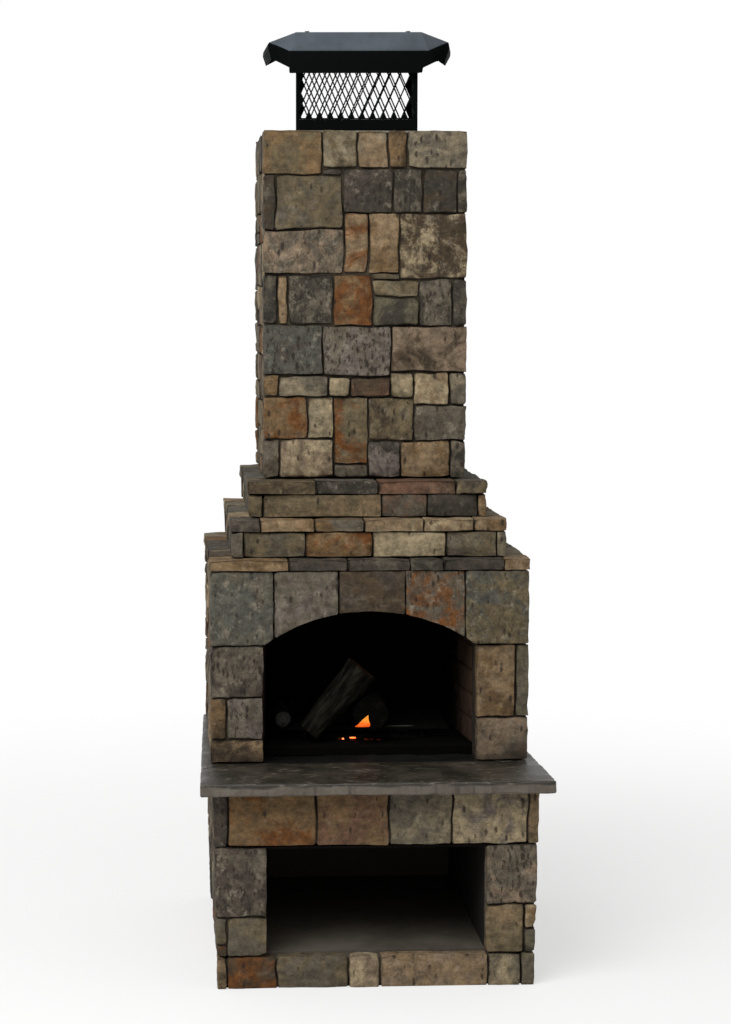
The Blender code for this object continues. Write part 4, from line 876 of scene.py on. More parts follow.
def split_faces(points, outward, low, high, rng, faces, roughness):
    """Knocks corners off a stone, tilts its seen faces and roughens it, always inwards."""
    centre = (low + high) / 2
    for _ in range(CHIPS):
        seen = faces[rng.integers(len(faces))]
        heading = rng.normal(size=3) * CHIP_TURN + seen
        heading /= np.linalg.norm(heading)
        reach = points @ heading
        over = reach - (reach.max() - rng.uniform(*CHIP_DEPTH) * roughness)
        points = points - np.maximum(over, 0.0)[:, None] * heading
    for index, seen in enumerate(np.array(faces, dtype=float)):
        facing = np.maximum(outward @ seen, 0.0) * (1.0 if index == 0 else SIDE_FACET_SHARE)
        across = (points - centre) * (1.0 - np.abs(seen))
        relief = np.zeros(len(points))
        for _ in range(FACETS):
            slope = rng.normal(size=3) * FACET_SLOPE
            relief = np.maximum(relief, across @ slope + rng.uniform(*FACET_LEVEL_SHARES) * FACET_DEPTH)
        depth = np.minimum(relief, FACET_DEPTH) * roughness
        points = points - (depth * facing)[:, None] * seen
    rim = (1.0 - np.abs(outward).max(1)) * min((high - low).min(), COURSE) * CHIP_RIM_SHARE
    rough = ROUGH_DEPTH * (ripples(points, ROUGH_LENGTH, rng) + 1.0)
    fine = FINE_DEPTH * (ripples(points, FINE_LENGTH, rng) + 1.0)
    chips = np.maximum(ripples(points, ROUGH_LENGTH / 2, rng), 0.0) * rim
    return points - outward * ((rough + fine + chips) * roughness)[:, None]


def lay_stone(pattern, low, high, faces, finish, rng, radius=None, roughness=1.0, drifting=False):
    """One stone in its box. The faces are the directions from which it is seen."""
    low, high = np.array(low, dtype=float), np.array(high, dtype=float)
    radius = rng.uniform(*CORNER_RADIUS) if radius is None else radius
    points, outward = rounded_box(points_of(pattern), pattern["band"], low, high, radius)
    if drifting:
        points = drift_corners(points, low, high, rng)
    points = np.clip(split_faces(points, outward, low, high, rng, faces, roughness), low, high)
    stone = pattern.copy()
    stone.data = pattern.data.copy()
    bpy.context.scene.collection.objects.link(stone)
    set_points(stone, points)
    main, second, marks = finish
    count = len(points)
    for name, colour in (("main_colour", main), ("second_colour", second)):
        tone = np.array(linear(STONE_COLOURS[colour])) * rng.uniform(*TONE_SHARES)
        write_vectors(stone, name, np.tile(tone, (count, 1)))
    write_vectors(stone, "stone_place", np.tile(rng.uniform(-PATTERN_SPREAD, PATTERN_SPREAD, 3), (count, 1)))
    # Painted shade with some dirt near the joints: the rim value grows where the surface turns away from the
    # faces that are seen
    buried = outward.copy()
    for seen in np.array(faces, dtype=float):
        buried -= np.maximum(buried @ seen, 0.0)[:, None] * seen
    rim = np.clip(np.linalg.norm(buried, axis=1), 0.0, 1.0) ** RIM_SHADE_POWER
    write_vectors(stone, "wear_and_rim_shade", np.column_stack((np.full(count, marks), rim, np.zeros(count))))
    return stone


def drift_corners(points, low, high, rng):
    """Moves a stone's four front corners a little inwards, each by its own amount."""
    size = high - low
    share = (points - low) / size
    most = np.minimum(CORNER_DRIFT, size * DRIFT_LIMIT_SHARE)
    for axis, other in ((0, 2), (2, 0)):
        near, far = rng.uniform(0, most[axis], 2), rng.uniform(0, most[axis], 2)
        along = share[:, other]
        from_low, from_high = (end[0] * (1 - along) + end[1] * along for end in (near, far))
        points[:, axis] += from_low * (1 - share[:, axis]) - from_high * share[:, axis]
    return points


def even_cuts(length, piece, rng, jitter_share):
    """The places, from 0 to length, where a run is cut into pieces of about one length."""
    count = max(1, round(length / piece))
    step = length / count
    inner = [step * (i + rng.uniform(-jitter_share, jitter_share)) for i in range(1, count)]
    return [0.0, *inner, length]


def seeded_cells(width, height, seed):
    """Squared rubble in courses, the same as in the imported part, with a finish drawn for each stone."""
    rng = random.Random(seed)
    pick = random.Random(seed + FINISH_SEED)
    cells = []
    rows = even_cuts(height, COURSE, rng, COURSE_JITTER_SHARE)
    for bottom, top in zip(rows, rows[1:]):
        cuts = even_cuts(width, STONE_LENGTH, rng, LENGTH_JITTER_SHARE)
        for left, right in zip(cuts, cuts[1:]):
            if rng.random() < SPLIT_CHANCE_SHARE and top - bottom > COURSE / 2:
                middle = bottom + (top - bottom) * SPLIT_HEIGHT_SHARE
                cells += [(left, right, bottom, middle), (left, right, middle, top)]
            else:
                cells.append((left, right, bottom, top))
    return [(*cell, *pick.choice(FIELD_FINISHES)) for cell in cells]


def shared_cells(width, height, shares):
    """A table of shares as stones of real size."""
    return [(a * width, b * width, c * height, d * height, *finish) for a, b, c, d, *finish in shares]


def course_cells(width, height, shares):
    """One course from the shares of its joints and its finishes."""
    cuts = [0.0, *(share * width for share in shares[0]), width]
    return [(left, right, 0.0, height, *finish) for left, right, finish in zip(cuts, cuts[1:], shares[1])]


def wander(points, width, height, rng):
    """Lets the joints of a panel wander together, and holds the panel's own edges."""
    across, up = points[:, 0], points[:, 2]
    edge = np.minimum.reduce((across + width / 2, width / 2 - across, up, height - up))
    hold = np.clip(edge / WANDER_FADE, 0.0, 1.0)
    flat = points * (1.0, 0.0, 1.0)
    for axis in (0, 2):
        points[:, axis] += WANDER * hold * ripples(flat, WANDER_LENGTH, rng)
    return points


def lean(points):
    """Draws the base's outer faces in towards the ground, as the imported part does."""
    reach = HALF_WIDTH - WOODBOX_HALF
    side = np.sign(points[:, 0])
    outside = np.abs(points[:, 0]) > WOODBOX_HALF
    drawn = np.where(side > 0, LEAN_RIGHT, LEAN_LEFT) * (1 - points[:, 2] / BASE_TOP)
    leant = side * (WOODBOX_HALF + (np.abs(points[:, 0]) - WOODBOX_HALF) * (reach - drawn) / reach)
    points[:, 0] = np.where(outside, leant, points[:, 0])
    return points


def seen_ends(left, right, width, free=(True, True)):
    """The directions from which a stone's ends are seen, where it ends its run on a free side."""
    return [(-1, 0, 0)] * (left <= 0.0 and free[0]) + [(1, 0, 0)] * (right >= width - GAP and free[1])


def leave_joint(low, high, length, free=(True, True)):
    """A stone's ends in its run, less half a joint except where it ends the run on a free side."""
    low += 0.0 if low <= 0.0 and free[0] else VISIBLE_JOINT / 2
    high -= 0.0 if high >= length - GAP and free[1] else VISIBLE_JOINT / 2
    return low, high


def lay_on_bed(name, stones, beds, finish="fieldstone", bed_finish="mortar"):
    """Joins stones and what they are bedded on, each with its own finish."""
    stones, bed = join(name, stones), join("bed", beds)
    stones.data.materials.append(finish_of(finish))
    bed.data.materials.append(finish_of(bed_finish))
    return join(name, [stones, bed])


def lay_panel(name, width, height, cells, seed, location, turn=0.0, free=(True, True), depth=VENEER,
              leaning=False, open_ends=False):
    """A facing of stones before its mortar, built flat and then turned to its side of the fireplace.

    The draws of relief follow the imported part. A free side shows the sides of its end stones.
    """
    relief = random.Random(seed)
    rng = np.random.default_rng(seed)
    pattern = model_pattern(FACE_CUTS, True)
    stones = []
    for left, right, bottom, top, *finish in cells:
        faces = [(0, -1, 0), *seen_ends(left, right, width, free)]
        if open_ends:
            faces += [(0, 0, -1)] * (bottom <= 0.0) + [(0, 0, 1)] * (top >= height - GAP)
        left, right = leave_joint(left, right, width, free)
        bottom, top = leave_joint(bottom, top, height)
        face = relief.uniform(0.0, RELIEF) - depth
        low, high = (left - width / 2, face, bottom), (right - width / 2, -BED_INSET, top)
        stones.append(lay_stone(pattern, low, high, faces, finish, rng, drifting=True))
    bpy.data.objects.remove(pattern)
    panel = join(name, stones)
    set_points(panel, wander(points_of(panel), width, height, rng))
    ends = (FREE_RECESS * free[0] - width / 2, width / 2 - FREE_RECESS * free[1])
    inset = FREE_RECESS if open_ends else BED_INSET
    bed = cube((ends[0], MORTAR_RECESS - depth, inset), (ends[1], 0.0, height - inset))
    panel = lay_on_bed(name, [panel], [bed])
    panel.data.transform(Matrix.Translation(location) @ Matrix.Rotation(turn, 4, "Z"))
    if leaning:
        set_points(panel, lean(points_of(panel)))
    smooth(panel, STONE_ANGLE)
    return panel


def face_panels(prefix, width, front, bottom, height, seed, inner=VENEER, leaning=False):
    """The facing of the left, right and back of a square body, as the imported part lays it."""
    length = BACK - VENEER - GAP - (front + inner + GAP)
    middle = front + inner + GAP + length / 2
    for name, side in (("left", -1), ("right", 1), ("back", 0)):
        node = f"{prefix}_{name}_veneer"
        run = length if side else width
        place = (side * (width / 2 - VENEER), middle if side else BACK - VENEER, bottom)
        turn = side * math.pi / 2 if side else math.pi
        cells = seeded_cells(run, height, seed + side)
        panel = lay_panel(node + "_stones", run, height, cells, seed + side, place, turn,
                          (not side, not side), leaning=leaning)
        settle(panel, "masonry", "fieldstone", node)


def lay_ring(node, shares, seed, stone_depth, slabs):
    """A course of stones round all four sides, on a bed that leaves room for the smoke chamber."""
    low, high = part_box(node)
    width, front, bottom, top = high.x - low.x, low.y, low.z, high.z
    half = width / 2
    order, pick = random.Random(seed), random.Random(seed + FINISH_SEED)
    rng = np.random.default_rng(seed)
    pattern = model_pattern(SLAB_CUTS, False)
    radius = min(CORNER_RADIUS[0], (top - bottom) * SLAB_RADIUS_SHARE)
    up = [(0, 0, 1)] * slabs
    stones = []
    cuts = even_cuts(width, STONE_LENGTH, order, LENGTH_JITTER_SHARE)
    back_run = [(left, right, 0.0, top) for left, right in zip(cuts, cuts[1:])]
    for run, face, inward in ((course_cells(width, top, shares), front, 1), (back_run, BACK, -1)):
        for left, right, _, _, *finish in run:
            faces = [(0, -inward, 0), *up, *seen_ends(left, right, width)]
            left, right = leave_joint(left, right, width)
            ends = sorted((face + inward * order.uniform(0.0, RELIEF), face + inward * stone_depth))
            finish = finish or pick.choice(FIELD_FINISHES)
            spot = (left - half, ends[0], bottom), (right - half, ends[1], top)
            stones.append(lay_stone(pattern, *spot, faces, finish, rng, radius))
    near_side = front + stone_depth + RING_JOINT
    length = BACK - stone_depth - RING_JOINT - near_side
    for side in (-1, 1):
        cuts = even_cuts(length, STONE_LENGTH, order, LENGTH_JITTER_SHARE)
        for near, far in zip(cuts, cuts[1:]):
            near, far = leave_joint(near, far, length)
            ends = sorted((side * (half - order.uniform(0.0, RELIEF)), side * (half - stone_depth)))
            spot = (ends[0], near_side + near, bottom), (ends[1], near_side + far, top)
            finish = pick.choice(FIELD_FINISHES)
            stones.append(lay_stone(pattern, *spot, [(side, 0, 0), *up], finish, rng, radius))
    bpy.data.objects.remove(pattern)
    hole_low, hole_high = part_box("smoke_chamber")
    floor, roof = bottom + BED_INSET, top - min(BED_DROP, (top - bottom) / 3)
    edge, near, far = half - MORTAR_RECESS, front + MORTAR_RECESS, BACK - MORTAR_RECESS
    left, right = hole_low.x - GAP, hole_high.x + GAP
    strips = ((-edge, near, left, far), (right, near, edge, far),
              (left, near, right, hole_low.y - GAP), (left, hole_high.y + GAP, right, far))
    ring = lay_on_bed(node + "_stones", stones, [cube((a, b, floor), (c, d, roof)) for a, b, c, d in strips])
    smooth(ring, STONE_ANGLE)
    settle(ring, "masonry", "cap_slabs" if slabs else "fieldstone", node)


def soot_share(points):
    """How sooty the firebox stones are: at the foot of the jambs, inside the opening and under the arch."""
    wobble = ripples(points, SOOT_WAVE, np.random.default_rng(5)) * SOOT_WOBBLE
    foot = np.clip(1.0 - (points[:, 2] - FIREBOX_BOTTOM + wobble) / SOOT_RISE, 0.0, 1.0)
    foot *= np.where(points[:, 0] > 0, SOOT_RIGHT_SHARE, SOOT_LEFT_SHARE)
    inside = np.clip((points[:, 1] - FIREBOX_FRONT - SOOT_BEHIND) / SOOT_FADE, 0.0, 1.0)
    inside *= np.abs(points[:, 0]) < HALF_WIDTH - SOOT_MARGIN
    return np.maximum(foot, inside * SOOT_INSIDE_SHARE)


def add_soot(piece):
    """Writes the soot into the third value of a piece's wear."""
    points = points_of(piece)
    wear_and_rim_shade = np.empty(points.size, dtype=np.float32)
    piece.data.attributes["wear_and_rim_shade"].data.foreach_get("vector", wear_and_rim_shade)
    wear_and_rim_shade = wear_and_rim_shade.reshape(-1, 3)
    wear_and_rim_shade[:, 2] = np.maximum(wear_and_rim_shade[:, 2], soot_share(points))
    write_vectors(piece, "wear_and_rim_shade", wear_and_rim_shade)


def arch_height(x):
    """The height of the arch's underside over a place across the opening."""
    rise = CROWN - SPRING
    radius = (OPENING_HALF ** 2 + rise ** 2) / (2 * rise)
    across = np.minimum(np.abs(x), OPENING_HALF)
    return CROWN - radius + np.sqrt(radius ** 2 - across ** 2)


# Settings


class StageSettings(bpy.types.PropertyGroup):
    camera_place: FloatVectorProperty(
        name="Camera place", description="Where the photographer stands", default=(-0.525, -6.424, 1.720),
        subtype="TRANSLATION", unit="LENGTH")
    camera_turn: FloatProperty(
        name="Camera turn", description="How far the camera turns to its right", default=math.radians(3.12),
        subtype="ANGLE", unit="ROTATION")
    camera_tilt: FloatProperty(
        name="Camera tilt", description="How far the camera looks down", default=math.radians(5.10),
        subtype="ANGLE", unit="ROTATION")
    lens: FloatProperty(name="Lens", description="Focal length", default=86.63, unit="CAMERA")
    shift: FloatProperty(name="Shift", description="Sideways shift of the frame", default=0.0674)
    floor_colour: FloatVectorProperty(
        name="Floor", description="Colour of the paved floor", default=(0.80, 0.80, 0.80), subtype="COLOR")
    sky_colour: FloatVectorProperty(
        name="Sky", description="Colour of the sky's light", default=(1.0, 0.99, 0.97), subtype="COLOR")
    ambient: FloatProperty(name="Ambient", description="Strength of the sky", default=0.62, min=0.0)
    key: FloatProperty(name="Key light", description="Power of the large lamp", default=260.0, unit="POWER")
    key_size: FloatProperty(
        name="Key size", description="Width of the large lamp", default=4.0, unit="LENGTH")
    key_place: FloatVectorProperty(
        name="Key place", description="Where the large lamp hangs", default=(-2.2, -3.2, 4.6),
        subtype="TRANSLATION", unit="LENGTH")


class CapSettings(bpy.types.PropertyGroup):
    top_width: FloatProperty(
        name="Top width", description="Width of the lid's flat top", default=0.326, unit="LENGTH")
    front_width: FloatProperty(
        name="Flap width", description="Width of the front and back flaps at the rim", default=0.362,
        unit="LENGTH")
    front_out: FloatProperty(
        name="Flap reach", description="How far the flaps stand out", default=0.027, unit="LENGTH")
    front_drop: FloatProperty(
        name="Flap drop", description="How far the flaps fall", default=0.052, unit="LENGTH")
    side_out: FloatProperty(
        name="Wing reach", description="How far the side wings stand out in front", default=0.073,
        unit="LENGTH")
    back_out: FloatProperty(
        name="Wing reach behind", description="How far the side wings stand out behind", default=0.092,
        unit="LENGTH")
    side_drop: FloatProperty(
        name="Wing drop", description="How far the side wings fall", default=0.0235, unit="LENGTH")
    side_length: FloatProperty(
        name="Wing length", description="Length of the wings' rim", default=0.40, unit="LENGTH")
    front_skirt: FloatProperty(
        name="Front skirt", description="Height of the skirt in front", default=0.056, unit="LENGTH")
    back_skirt: FloatProperty(
        name="Back skirt", description="Height of the skirt behind", default=0.022, unit="LENGTH")
    ear_skirt: FloatProperty(
        name="Side skirt", description="Height of the skirt at the sides", default=0.043, unit="LENGTH")
    ear_tuck: FloatProperty(
        name="Ear tuck", description="How far the side skirts lean in", default=0.007, unit="LENGTH")
    pinch: FloatProperty(
        name="Pinch", description="How far the front right corner is pinched in", default=0.022,
        unit="LENGTH")
    shift: FloatProperty(
        name="Lid shift", description="How far the lid sits right of the flue", default=0.005, unit="LENGTH")
    turn: FloatProperty(
        name="Turn", description="How far the cap is turned on its flue", default=0.062, subtype="ANGLE",
        unit="ROTATION")
    sheet: FloatProperty(name="Sheet", description="Thickness of the sheet", default=0.002, unit="LENGTH")


class FireSettings(bpy.types.PropertyGroup):
    flame_height: FloatProperty(name="Flame", description="Height of the flame", default=0.030, unit="LENGTH")
    flame_width: FloatProperty(
        name="Flame width", description="Width of the flame's foot", default=0.039, unit="LENGTH")
    flame_strength: FloatProperty(
        name="Flame glow", description="Strength of the flame's glow", default=1.1, min=0.0)
    flame_tip: FloatVectorProperty(
        name="Flame tip", description="Colour of the flame's tip", default=(1.0, 0.31, 0.035),
        subtype="COLOR")
    flame_root: FloatVectorProperty(
        name="Flame root", description="Colour of the flame's root", default=(0.82, 0.10, 0.010),
        subtype="COLOR")
    ember: FloatVectorProperty(
        name="Ember", description="Colour of the embers", default=(1.0, 0.08, 0.01), subtype="COLOR")
    ember_top: FloatVectorProperty(
        name="Ember top", description="Colour of the hot embers' tops", default=(1.0, 0.25, 0.07),
        subtype="COLOR")
    hot_strength: FloatProperty(
        name="Hot embers", description="Strength of the hot embers' glow", default=3.0, min=0.0)
    dim_strength: FloatProperty(
        name="Fading embers", description="Strength of the fading embers' glow", default=0.035, min=0.0)


# Operators


class FIREPLACE_OT_stage(bpy.types.Operator):
    """Sets up the floor, the sky, the lamp and the camera"""

    bl_idname = "fireplace.stage"
    bl_label = "Stage"

    def execute(self, context):
        values = context.scene.fireplace_stage
        self.lay_floor(values)
        self.light(context.scene, values)
        rotation = (math.pi / 2 - values.camera_tilt, 0.0, -values.camera_turn)
        bpy.ops.object.camera_add(location=values.camera_place, rotation=rotation)
        camera = bpy.context.object
        camera.name = "photographer"
        camera.data.lens = values.lens
        camera.data.sensor_width = SENSOR_WIDTH
        camera.data.shift_x = values.shift
        camera.data.clip_end = CLIP_END
        context.scene.camera = camera
        context.scene.view_settings.view_transform = "Standard"
        return {"FINISHED"}

    def lay_floor(self, values):
        """A pale floor that fades into the white of the sky with distance."""
        clear_selection()
        bpy.ops.mesh.primitive_plane_add(size=FLOOR_SIZE, location=(0.0, 0.0, -FLOOR_DROP))
        bpy.ops.object.transform_apply(location=True, rotation=True, scale=True)
        floor = bpy.context.object
        floor.name = "pale_floor"
        shader = Shader("pale_floor", Roughness=0.9, Specular_IOR_Level=0.1,
                        Base_Color=(*values.floor_colour, 1.0))
        distance = shader.add("VectorMath", {0: shader.place}, operation="LENGTH").outputs["Value"]
        far = shader.ramp(distance, *FLOOR_FADE, *FLOOR_WHITE_SHARES)
        share = shader.times(shader.add("LightPath").outputs["Is Camera Ray"], far)
        shader.mix_surfaces(share, shader.surface, shader.add("Emission"), "Material Output")
        floor.data.materials.append(shader.material)

    def light(self, scene, values):
        """A soft sky that the camera sees as white, and one large lamp."""
        scene.world = bpy.data.worlds.new("soft_sky")
        scene.world.use_nodes = True
        nodes = Nodes(scene.world.node_tree)
        sky = nodes.tree.nodes["Background"]
        nodes.feed(sky.inputs["Color"], (*values.sky_colour, 1.0))
        nodes.feed(sky.inputs["Strength"], values.ambient)
        white = nodes.add("Background", {"Color": (1.0, 1.0, 1.0, 1.0), "Strength": 1.0})
        path = nodes.add("LightPath").outputs
        seen = nodes.maths("MAXIMUM", path["Is Camera Ray"], path["Is Glossy Ray"])
        seen = nodes.maths("MAXIMUM", seen, path["Is Transmission Ray"])
        nodes.mix_surfaces(seen, sky, white, "World Output")
        bpy.ops.object.light_add(type="AREA", location=values.key_place)
        lamp = bpy.context.object
        lamp.name = "soft_lamp"
        lamp.data.shape = "DISK"
        lamp.data.size = values.key_size
        lamp.data.energy = values.key
        lamp.rotation_euler = (Vector(LAMP_AIM) - lamp.location).to_track_quat("-Z", "Y").to_euler()


class FIREPLACE_OT_cores(bpy.types.Operator):
    """Gives the block work, the lintel bar, the crown and the flue their finishes"""

    bl_idname = "fireplace.cores"
    bl_label = "Block work and flue"

    def execute(self, context):
        plain = concrete_material("block_work", (0.46, 0.44, 0.41), (0.36, 0.34, 0.32))
        # The wood box's concrete takes painted shade towards its back and on its side walls
        box = concrete_material("wood_box_concrete", (0.34, 0.315, 0.28), (0.26, 0.24, 0.21), BOX_PAINTED_SHADE_DEPTH)
        crown = concrete_material("crown_mortar", (0.56, 0.54, 0.50), (0.44, 0.42, 0.39))
        flue = concrete_material("sooty_parging", (0.20, 0.18, 0.16), (0.10, 0.09, 0.08))
        for material, *nodes in (
            (box, "footing_slab", "base_core", "support_slab"),
            (plain, "firebox_core", "chimney_core"),
            (flue, "smoke_dome", "smoke_chamber"),
            (crown, "chimney_crown"),
            (finish_of("clay"), "flue_tile_lower", "flue_tile_upper"),
            (bar_rust_and_painted_shade_material(), "woodbox_lintel_bar"),
        ):
            for node in nodes:
                dress(node, material)
        return {"FINISHED"}


class FIREPLACE_OT_base(bpy.types.Operator):
    """Lays the stones of the base round the wood box"""

    bl_idname = "fireplace.base"
    bl_label = "Base stonework"

    def execute(self, context):
        width, back = 2 * HALF_WIDTH, BASE_FRONT + VENEER
        cells = course_cells(width, SILL_TOP, SILL_SHARES)
        place = (0.0, back, 0.0)
        panel = lay_panel("base_sill_stones", width, SILL_TOP, cells, 11, place, leaning=True, open_ends=True)
        points = points_of(panel)
        points[:, 2] = np.maximum(points[:, 2] - GROUND_SINK * (1.0 - points[:, 2] / SILL_TOP), 0.0)
        set_points(panel, points)
        settle(panel, "masonry", "fieldstone", "base_bottom_course")
        jamb_width, jamb_height = HALF_WIDTH - WOODBOX_HALF, JAMB_TOP - JAMB_BOTTOM
        for name, shares, side in (("left", BASE_LEFT_JAMB_SHARES, -1), ("right", BASE_RIGHT_JAMB_SHARES, 1)):
            cells = shared_cells(jamb_width, jamb_height, shares)
            place = (side * (WOODBOX_HALF + jamb_width / 2), back, JAMB_BOTTOM)
            panel = lay_panel(f"base_{name}_jamb_stones", jamb_width, jamb_height, cells, 13 + side, place,
                              leaning=True)
            points = points_of(panel)
            reach = np.clip((points[:, 2] - JAMB_TOP + JAMB_STRETCH) / JAMB_STRETCH, 0.0, 1.0)
            points[:, 2] += reach * (LINTEL_BOTTOM - GAP - JAMB_TOP)
            set_points(panel, points)
            settle(panel, "masonry", "fieldstone", f"base_{name}_jamb")
        height = BASE_TOP - LINTEL_BOTTOM
        cells = course_cells(width, height, LINTEL_SHARES)
        place = (0.0, back, LINTEL_BOTTOM)
        panel = lay_panel("base_lintel_stones", width, height, cells, 17, place, leaning=True, open_ends=True)
        settle(panel, "masonry", "fieldstone", "base_lintel_course")
        face_panels("base", width, BASE_FRONT, 0.0, BASE_TOP, 21, leaning=True)
        return {"FINISHED"}


class FIREPLACE_OT_hearth(bpy.types.Operator):
    """Dresses the flagstone of the hearth"""

    bl_idname = "fireplace.hearth"
    bl_label = "Hearth slab"

    def execute(self, context):
        low, high = (np.array(corner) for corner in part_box("hearth_slab"))
        slab = grid_cube(HEARTH_CUTS)
        band = 1.0 - 2.0 * HEARTH_RIM_CELLS / (HEARTH_CUTS + 1)
        points, outward = rounded_box(points_of(slab), band, low, high, HEARTH_RADIUS)
        rng = np.random.default_rng(8)
        rim, side = 1.0 - np.abs(outward).max(1), np.abs(outward[:, :2]).max(1)
        broad = np.maximum(ripples(points, HEARTH_WAVE, rng), 0.0) * HEARTH_SWELL
        broad *= np.abs(outward[:, 2]) + side
        notch = np.maximum(ripples(points * (1, 1, 0), NOTCH_WAVE, rng) - NOTCH_START, 0.0)
        notch *= rim * NOTCH_RIM + side * NOTCH_SIDE
        fine = (ripples(points, HEARTH_GRAIN_WAVE, rng) + 1.0) * HEARTH_GRAIN
        points = np.clip(points - outward * (broad + notch + fine)[:, None], low, high)
        drop = DAMP_DROP + DAMP_FADE * ripples(points * (1, 1, 0), NOTCH_WAVE, rng)
        above = np.clip((points[:, 2] - high[2] + drop) / DAMP_FADE, 0.0, 1.0)
        damp = np.maximum(np.clip(outward[:, 2] * DAMP_RISE_SHARE, 0.0, 1.0), above * side)
        outline = points_of(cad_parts["hearth_slab"])
        back_half = np.abs(outline[outline[:, 1] > 0.0, 0]).max()
        depth_share = (points[:, 1] - low[1]) / (high[1] - low[1])
        points[:, 0] *= 1.0 + (back_half / high[0] - 1.0) * depth_share
        set_points(slab, points)
        write_vectors(slab, "wear_and_rim_shade", np.column_stack((np.zeros(len(points)), rim, damp)))
        complete(slab, "hearth_flagstone", finish_of("hearth"), SLAB_ANGLE, "masonry", "hearth_stone",
                 "hearth_slab")
        return {"FINISHED"}


class FIREPLACE_OT_firebox(bpy.types.Operator):
    """Lays the jambs, the arch and the sides of the firebox"""

    bl_idname = "fireplace.firebox"
    bl_label = "Firebox stonework"

    def execute(self, context):
        width, back = 2 * HALF_WIDTH, FIREBOX_FRONT + FRONT_DEPTH
        jamb_width, jamb_height = HALF_WIDTH - OPENING_HALF, SPRING - FIREBOX_BOTTOM
        for name, shares, side in (("left", LEFT_JAMB_SHARES, -1), ("right", RIGHT_JAMB_SHARES, 1)):
            cells = shared_cells(jamb_width, jamb_height, shares)
            place = (side * (HALF_WIDTH - jamb_width / 2), back, FIREBOX_BOTTOM)
            panel = lay_panel(f"firebox_{name}_jamb", jamb_width, jamb_height, cells, 33 + side, place,
                              depth=FRONT_DEPTH)
            add_soot(panel)
            settle(panel, "masonry", "fieldstone", f"{name}_jamb_stones")
        self.lay_arch(width, back)
        height = ARCH_TOP - FIREBOX_BOTTOM
        face_panels("firebox", width, FIREBOX_FRONT, FIREBOX_BOTTOM, height, 41, FRONT_DEPTH)
        return {"FINISHED"}

    def lay_arch(self, width, back):
        """Five stones whose undersides follow the arch."""
        relief, rng = random.Random(31), np.random.default_rng(31)
        pattern = model_pattern(ARCH_CUTS, False)
        bottom = SPRING + GAP + VISIBLE_JOINT / 2
        names = ("arch_left_end", "arch_left_stone", "arch_keystone", "arch_right_stone", "arch_right_end")
        for name, (left, right, _, _, *finish) in zip(names, course_cells(width, 0.0, ARCH_SHARES)):
            faces = [(0, -1, 0), (0, 0, -1), *seen_ends(left, right, width)]
            left, right = leave_joint(left, right, width)
            low = (left - width / 2, FIREBOX_FRONT + relief.uniform(0.0, RELIEF), bottom)
            high = (right - width / 2, back, ARCH_TOP)
            stone = lay_stone(pattern, low, high, faces, finish, rng, roughness=ARCH_ROUGHNESS_SHARE)
            points = points_of(stone)
            rise = np.maximum(arch_height(points[:, 0]) - bottom, 0.0)
            points[:, 2] += rise * (ARCH_TOP - points[:, 2]) / (ARCH_TOP - bottom)
            set_points(stone, points)
            add_soot(stone)
            complete(stone, name + "_stone", finish_of("fieldstone"), STONE_ANGLE, "masonry", "fieldstone",
                     name)
        bpy.data.objects.remove(pattern)


class FIREPLACE_OT_firebrick(bpy.types.Operator):
    """Lines the firebox with firebrick"""

    bl_idname = "fireplace.firebrick"
    bl_label = "Firebrick lining"

    def execute(self, context):
        low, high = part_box("firebrick_back")
        wall = self.bricks("firebrick_back", high.x - low.x, high.z - low.z, high.y - low.y, 71)
        self.set_wall(wall, "firebrick_back", Matrix.Translation(((low.x + high.x) / 2, high.y, low.z)))
        for name, facing in (("firebrick_left", 1), ("firebrick_right", -1)):
            low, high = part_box(name)
            length = high.y - low.y
            wall = self.bricks(name, length, high.z - low.z, SIDE_WALL_DEPTH, 72 + facing)
            wall.data.transform(Matrix.Rotation(facing * math.pi / 2, 4, "Z"))
            points = points_of(wall)
            inner = high.x if facing > 0 else low.x
            splay = abs(abs(inner) - OPENING_HALF)
            share = (points[:, 1] + length / 2) / length
            points[:, 0] -= facing * (OPENING_HALF - splay * share + SIDE_WALL_DEPTH)
            set_points(wall, points)
            self.set_wall(wall, name, Matrix.Translation((0.0, (low.y + high.y) / 2, low.z)))
        low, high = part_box("firebrick_floor")
        wall = self.bricks("firebrick_floor", high.x - low.x, high.y - low.y, high.z - low.z, 74)
        wall.data.transform(Matrix.Rotation(-math.pi / 2, 4, "X"))
        self.set_wall(wall, "firebrick_floor", Matrix.Translation(((low.x + high.x) / 2, low.y, low.z)))
        return {"FINISHED"}

    def bricks(self, node, width, height, depth, seed):
        """Running bond of bricks against a bed, before it is turned to its wall."""
        rng = np.random.default_rng(seed)
        pattern = model_pattern(BRICK_CUTS, True)
        rows = max(1, round(height / BRICK_HEIGHT))
        step = height / rows
        half = BRICK_JOINT / 2
        stones = []
        for row in range(rows):
            start = -BRICK_LENGTH / 2 * (row % 2)
            while start < width - BRICK_JOINT:
                left, right = max(start, 0.0) + half, min(start + BRICK_LENGTH, width) - half
                if right - left > BRICK_JOINT:
                    low = (left - width / 2, rng.uniform(0, BRICK_RELIEF) - depth, row * step + half)
                    high = (right - width / 2, 0.0, (row + 1) * step - half)
                    stones.append(lay_stone(pattern, low, high, [(0, -1, 0)], BRICK_FINISH, rng,
                                            BRICK_RADIUS, BRICK_ROUGHNESS_SHARE))
                start += BRICK_LENGTH
        bpy.data.objects.remove(pattern)
        bed = cube((-width / 2, BRICK_BED - depth, 0.0), (width / 2, 0.0, height))
        return lay_on_bed(node + "_courses", stones, [bed], "firebrick", "soot")

    def set_wall(self, wall, node, place):
        wall.data.transform(place)
        smooth(wall, STONE_ANGLE)
        settle(wall, "masonry", "firebrick", node)


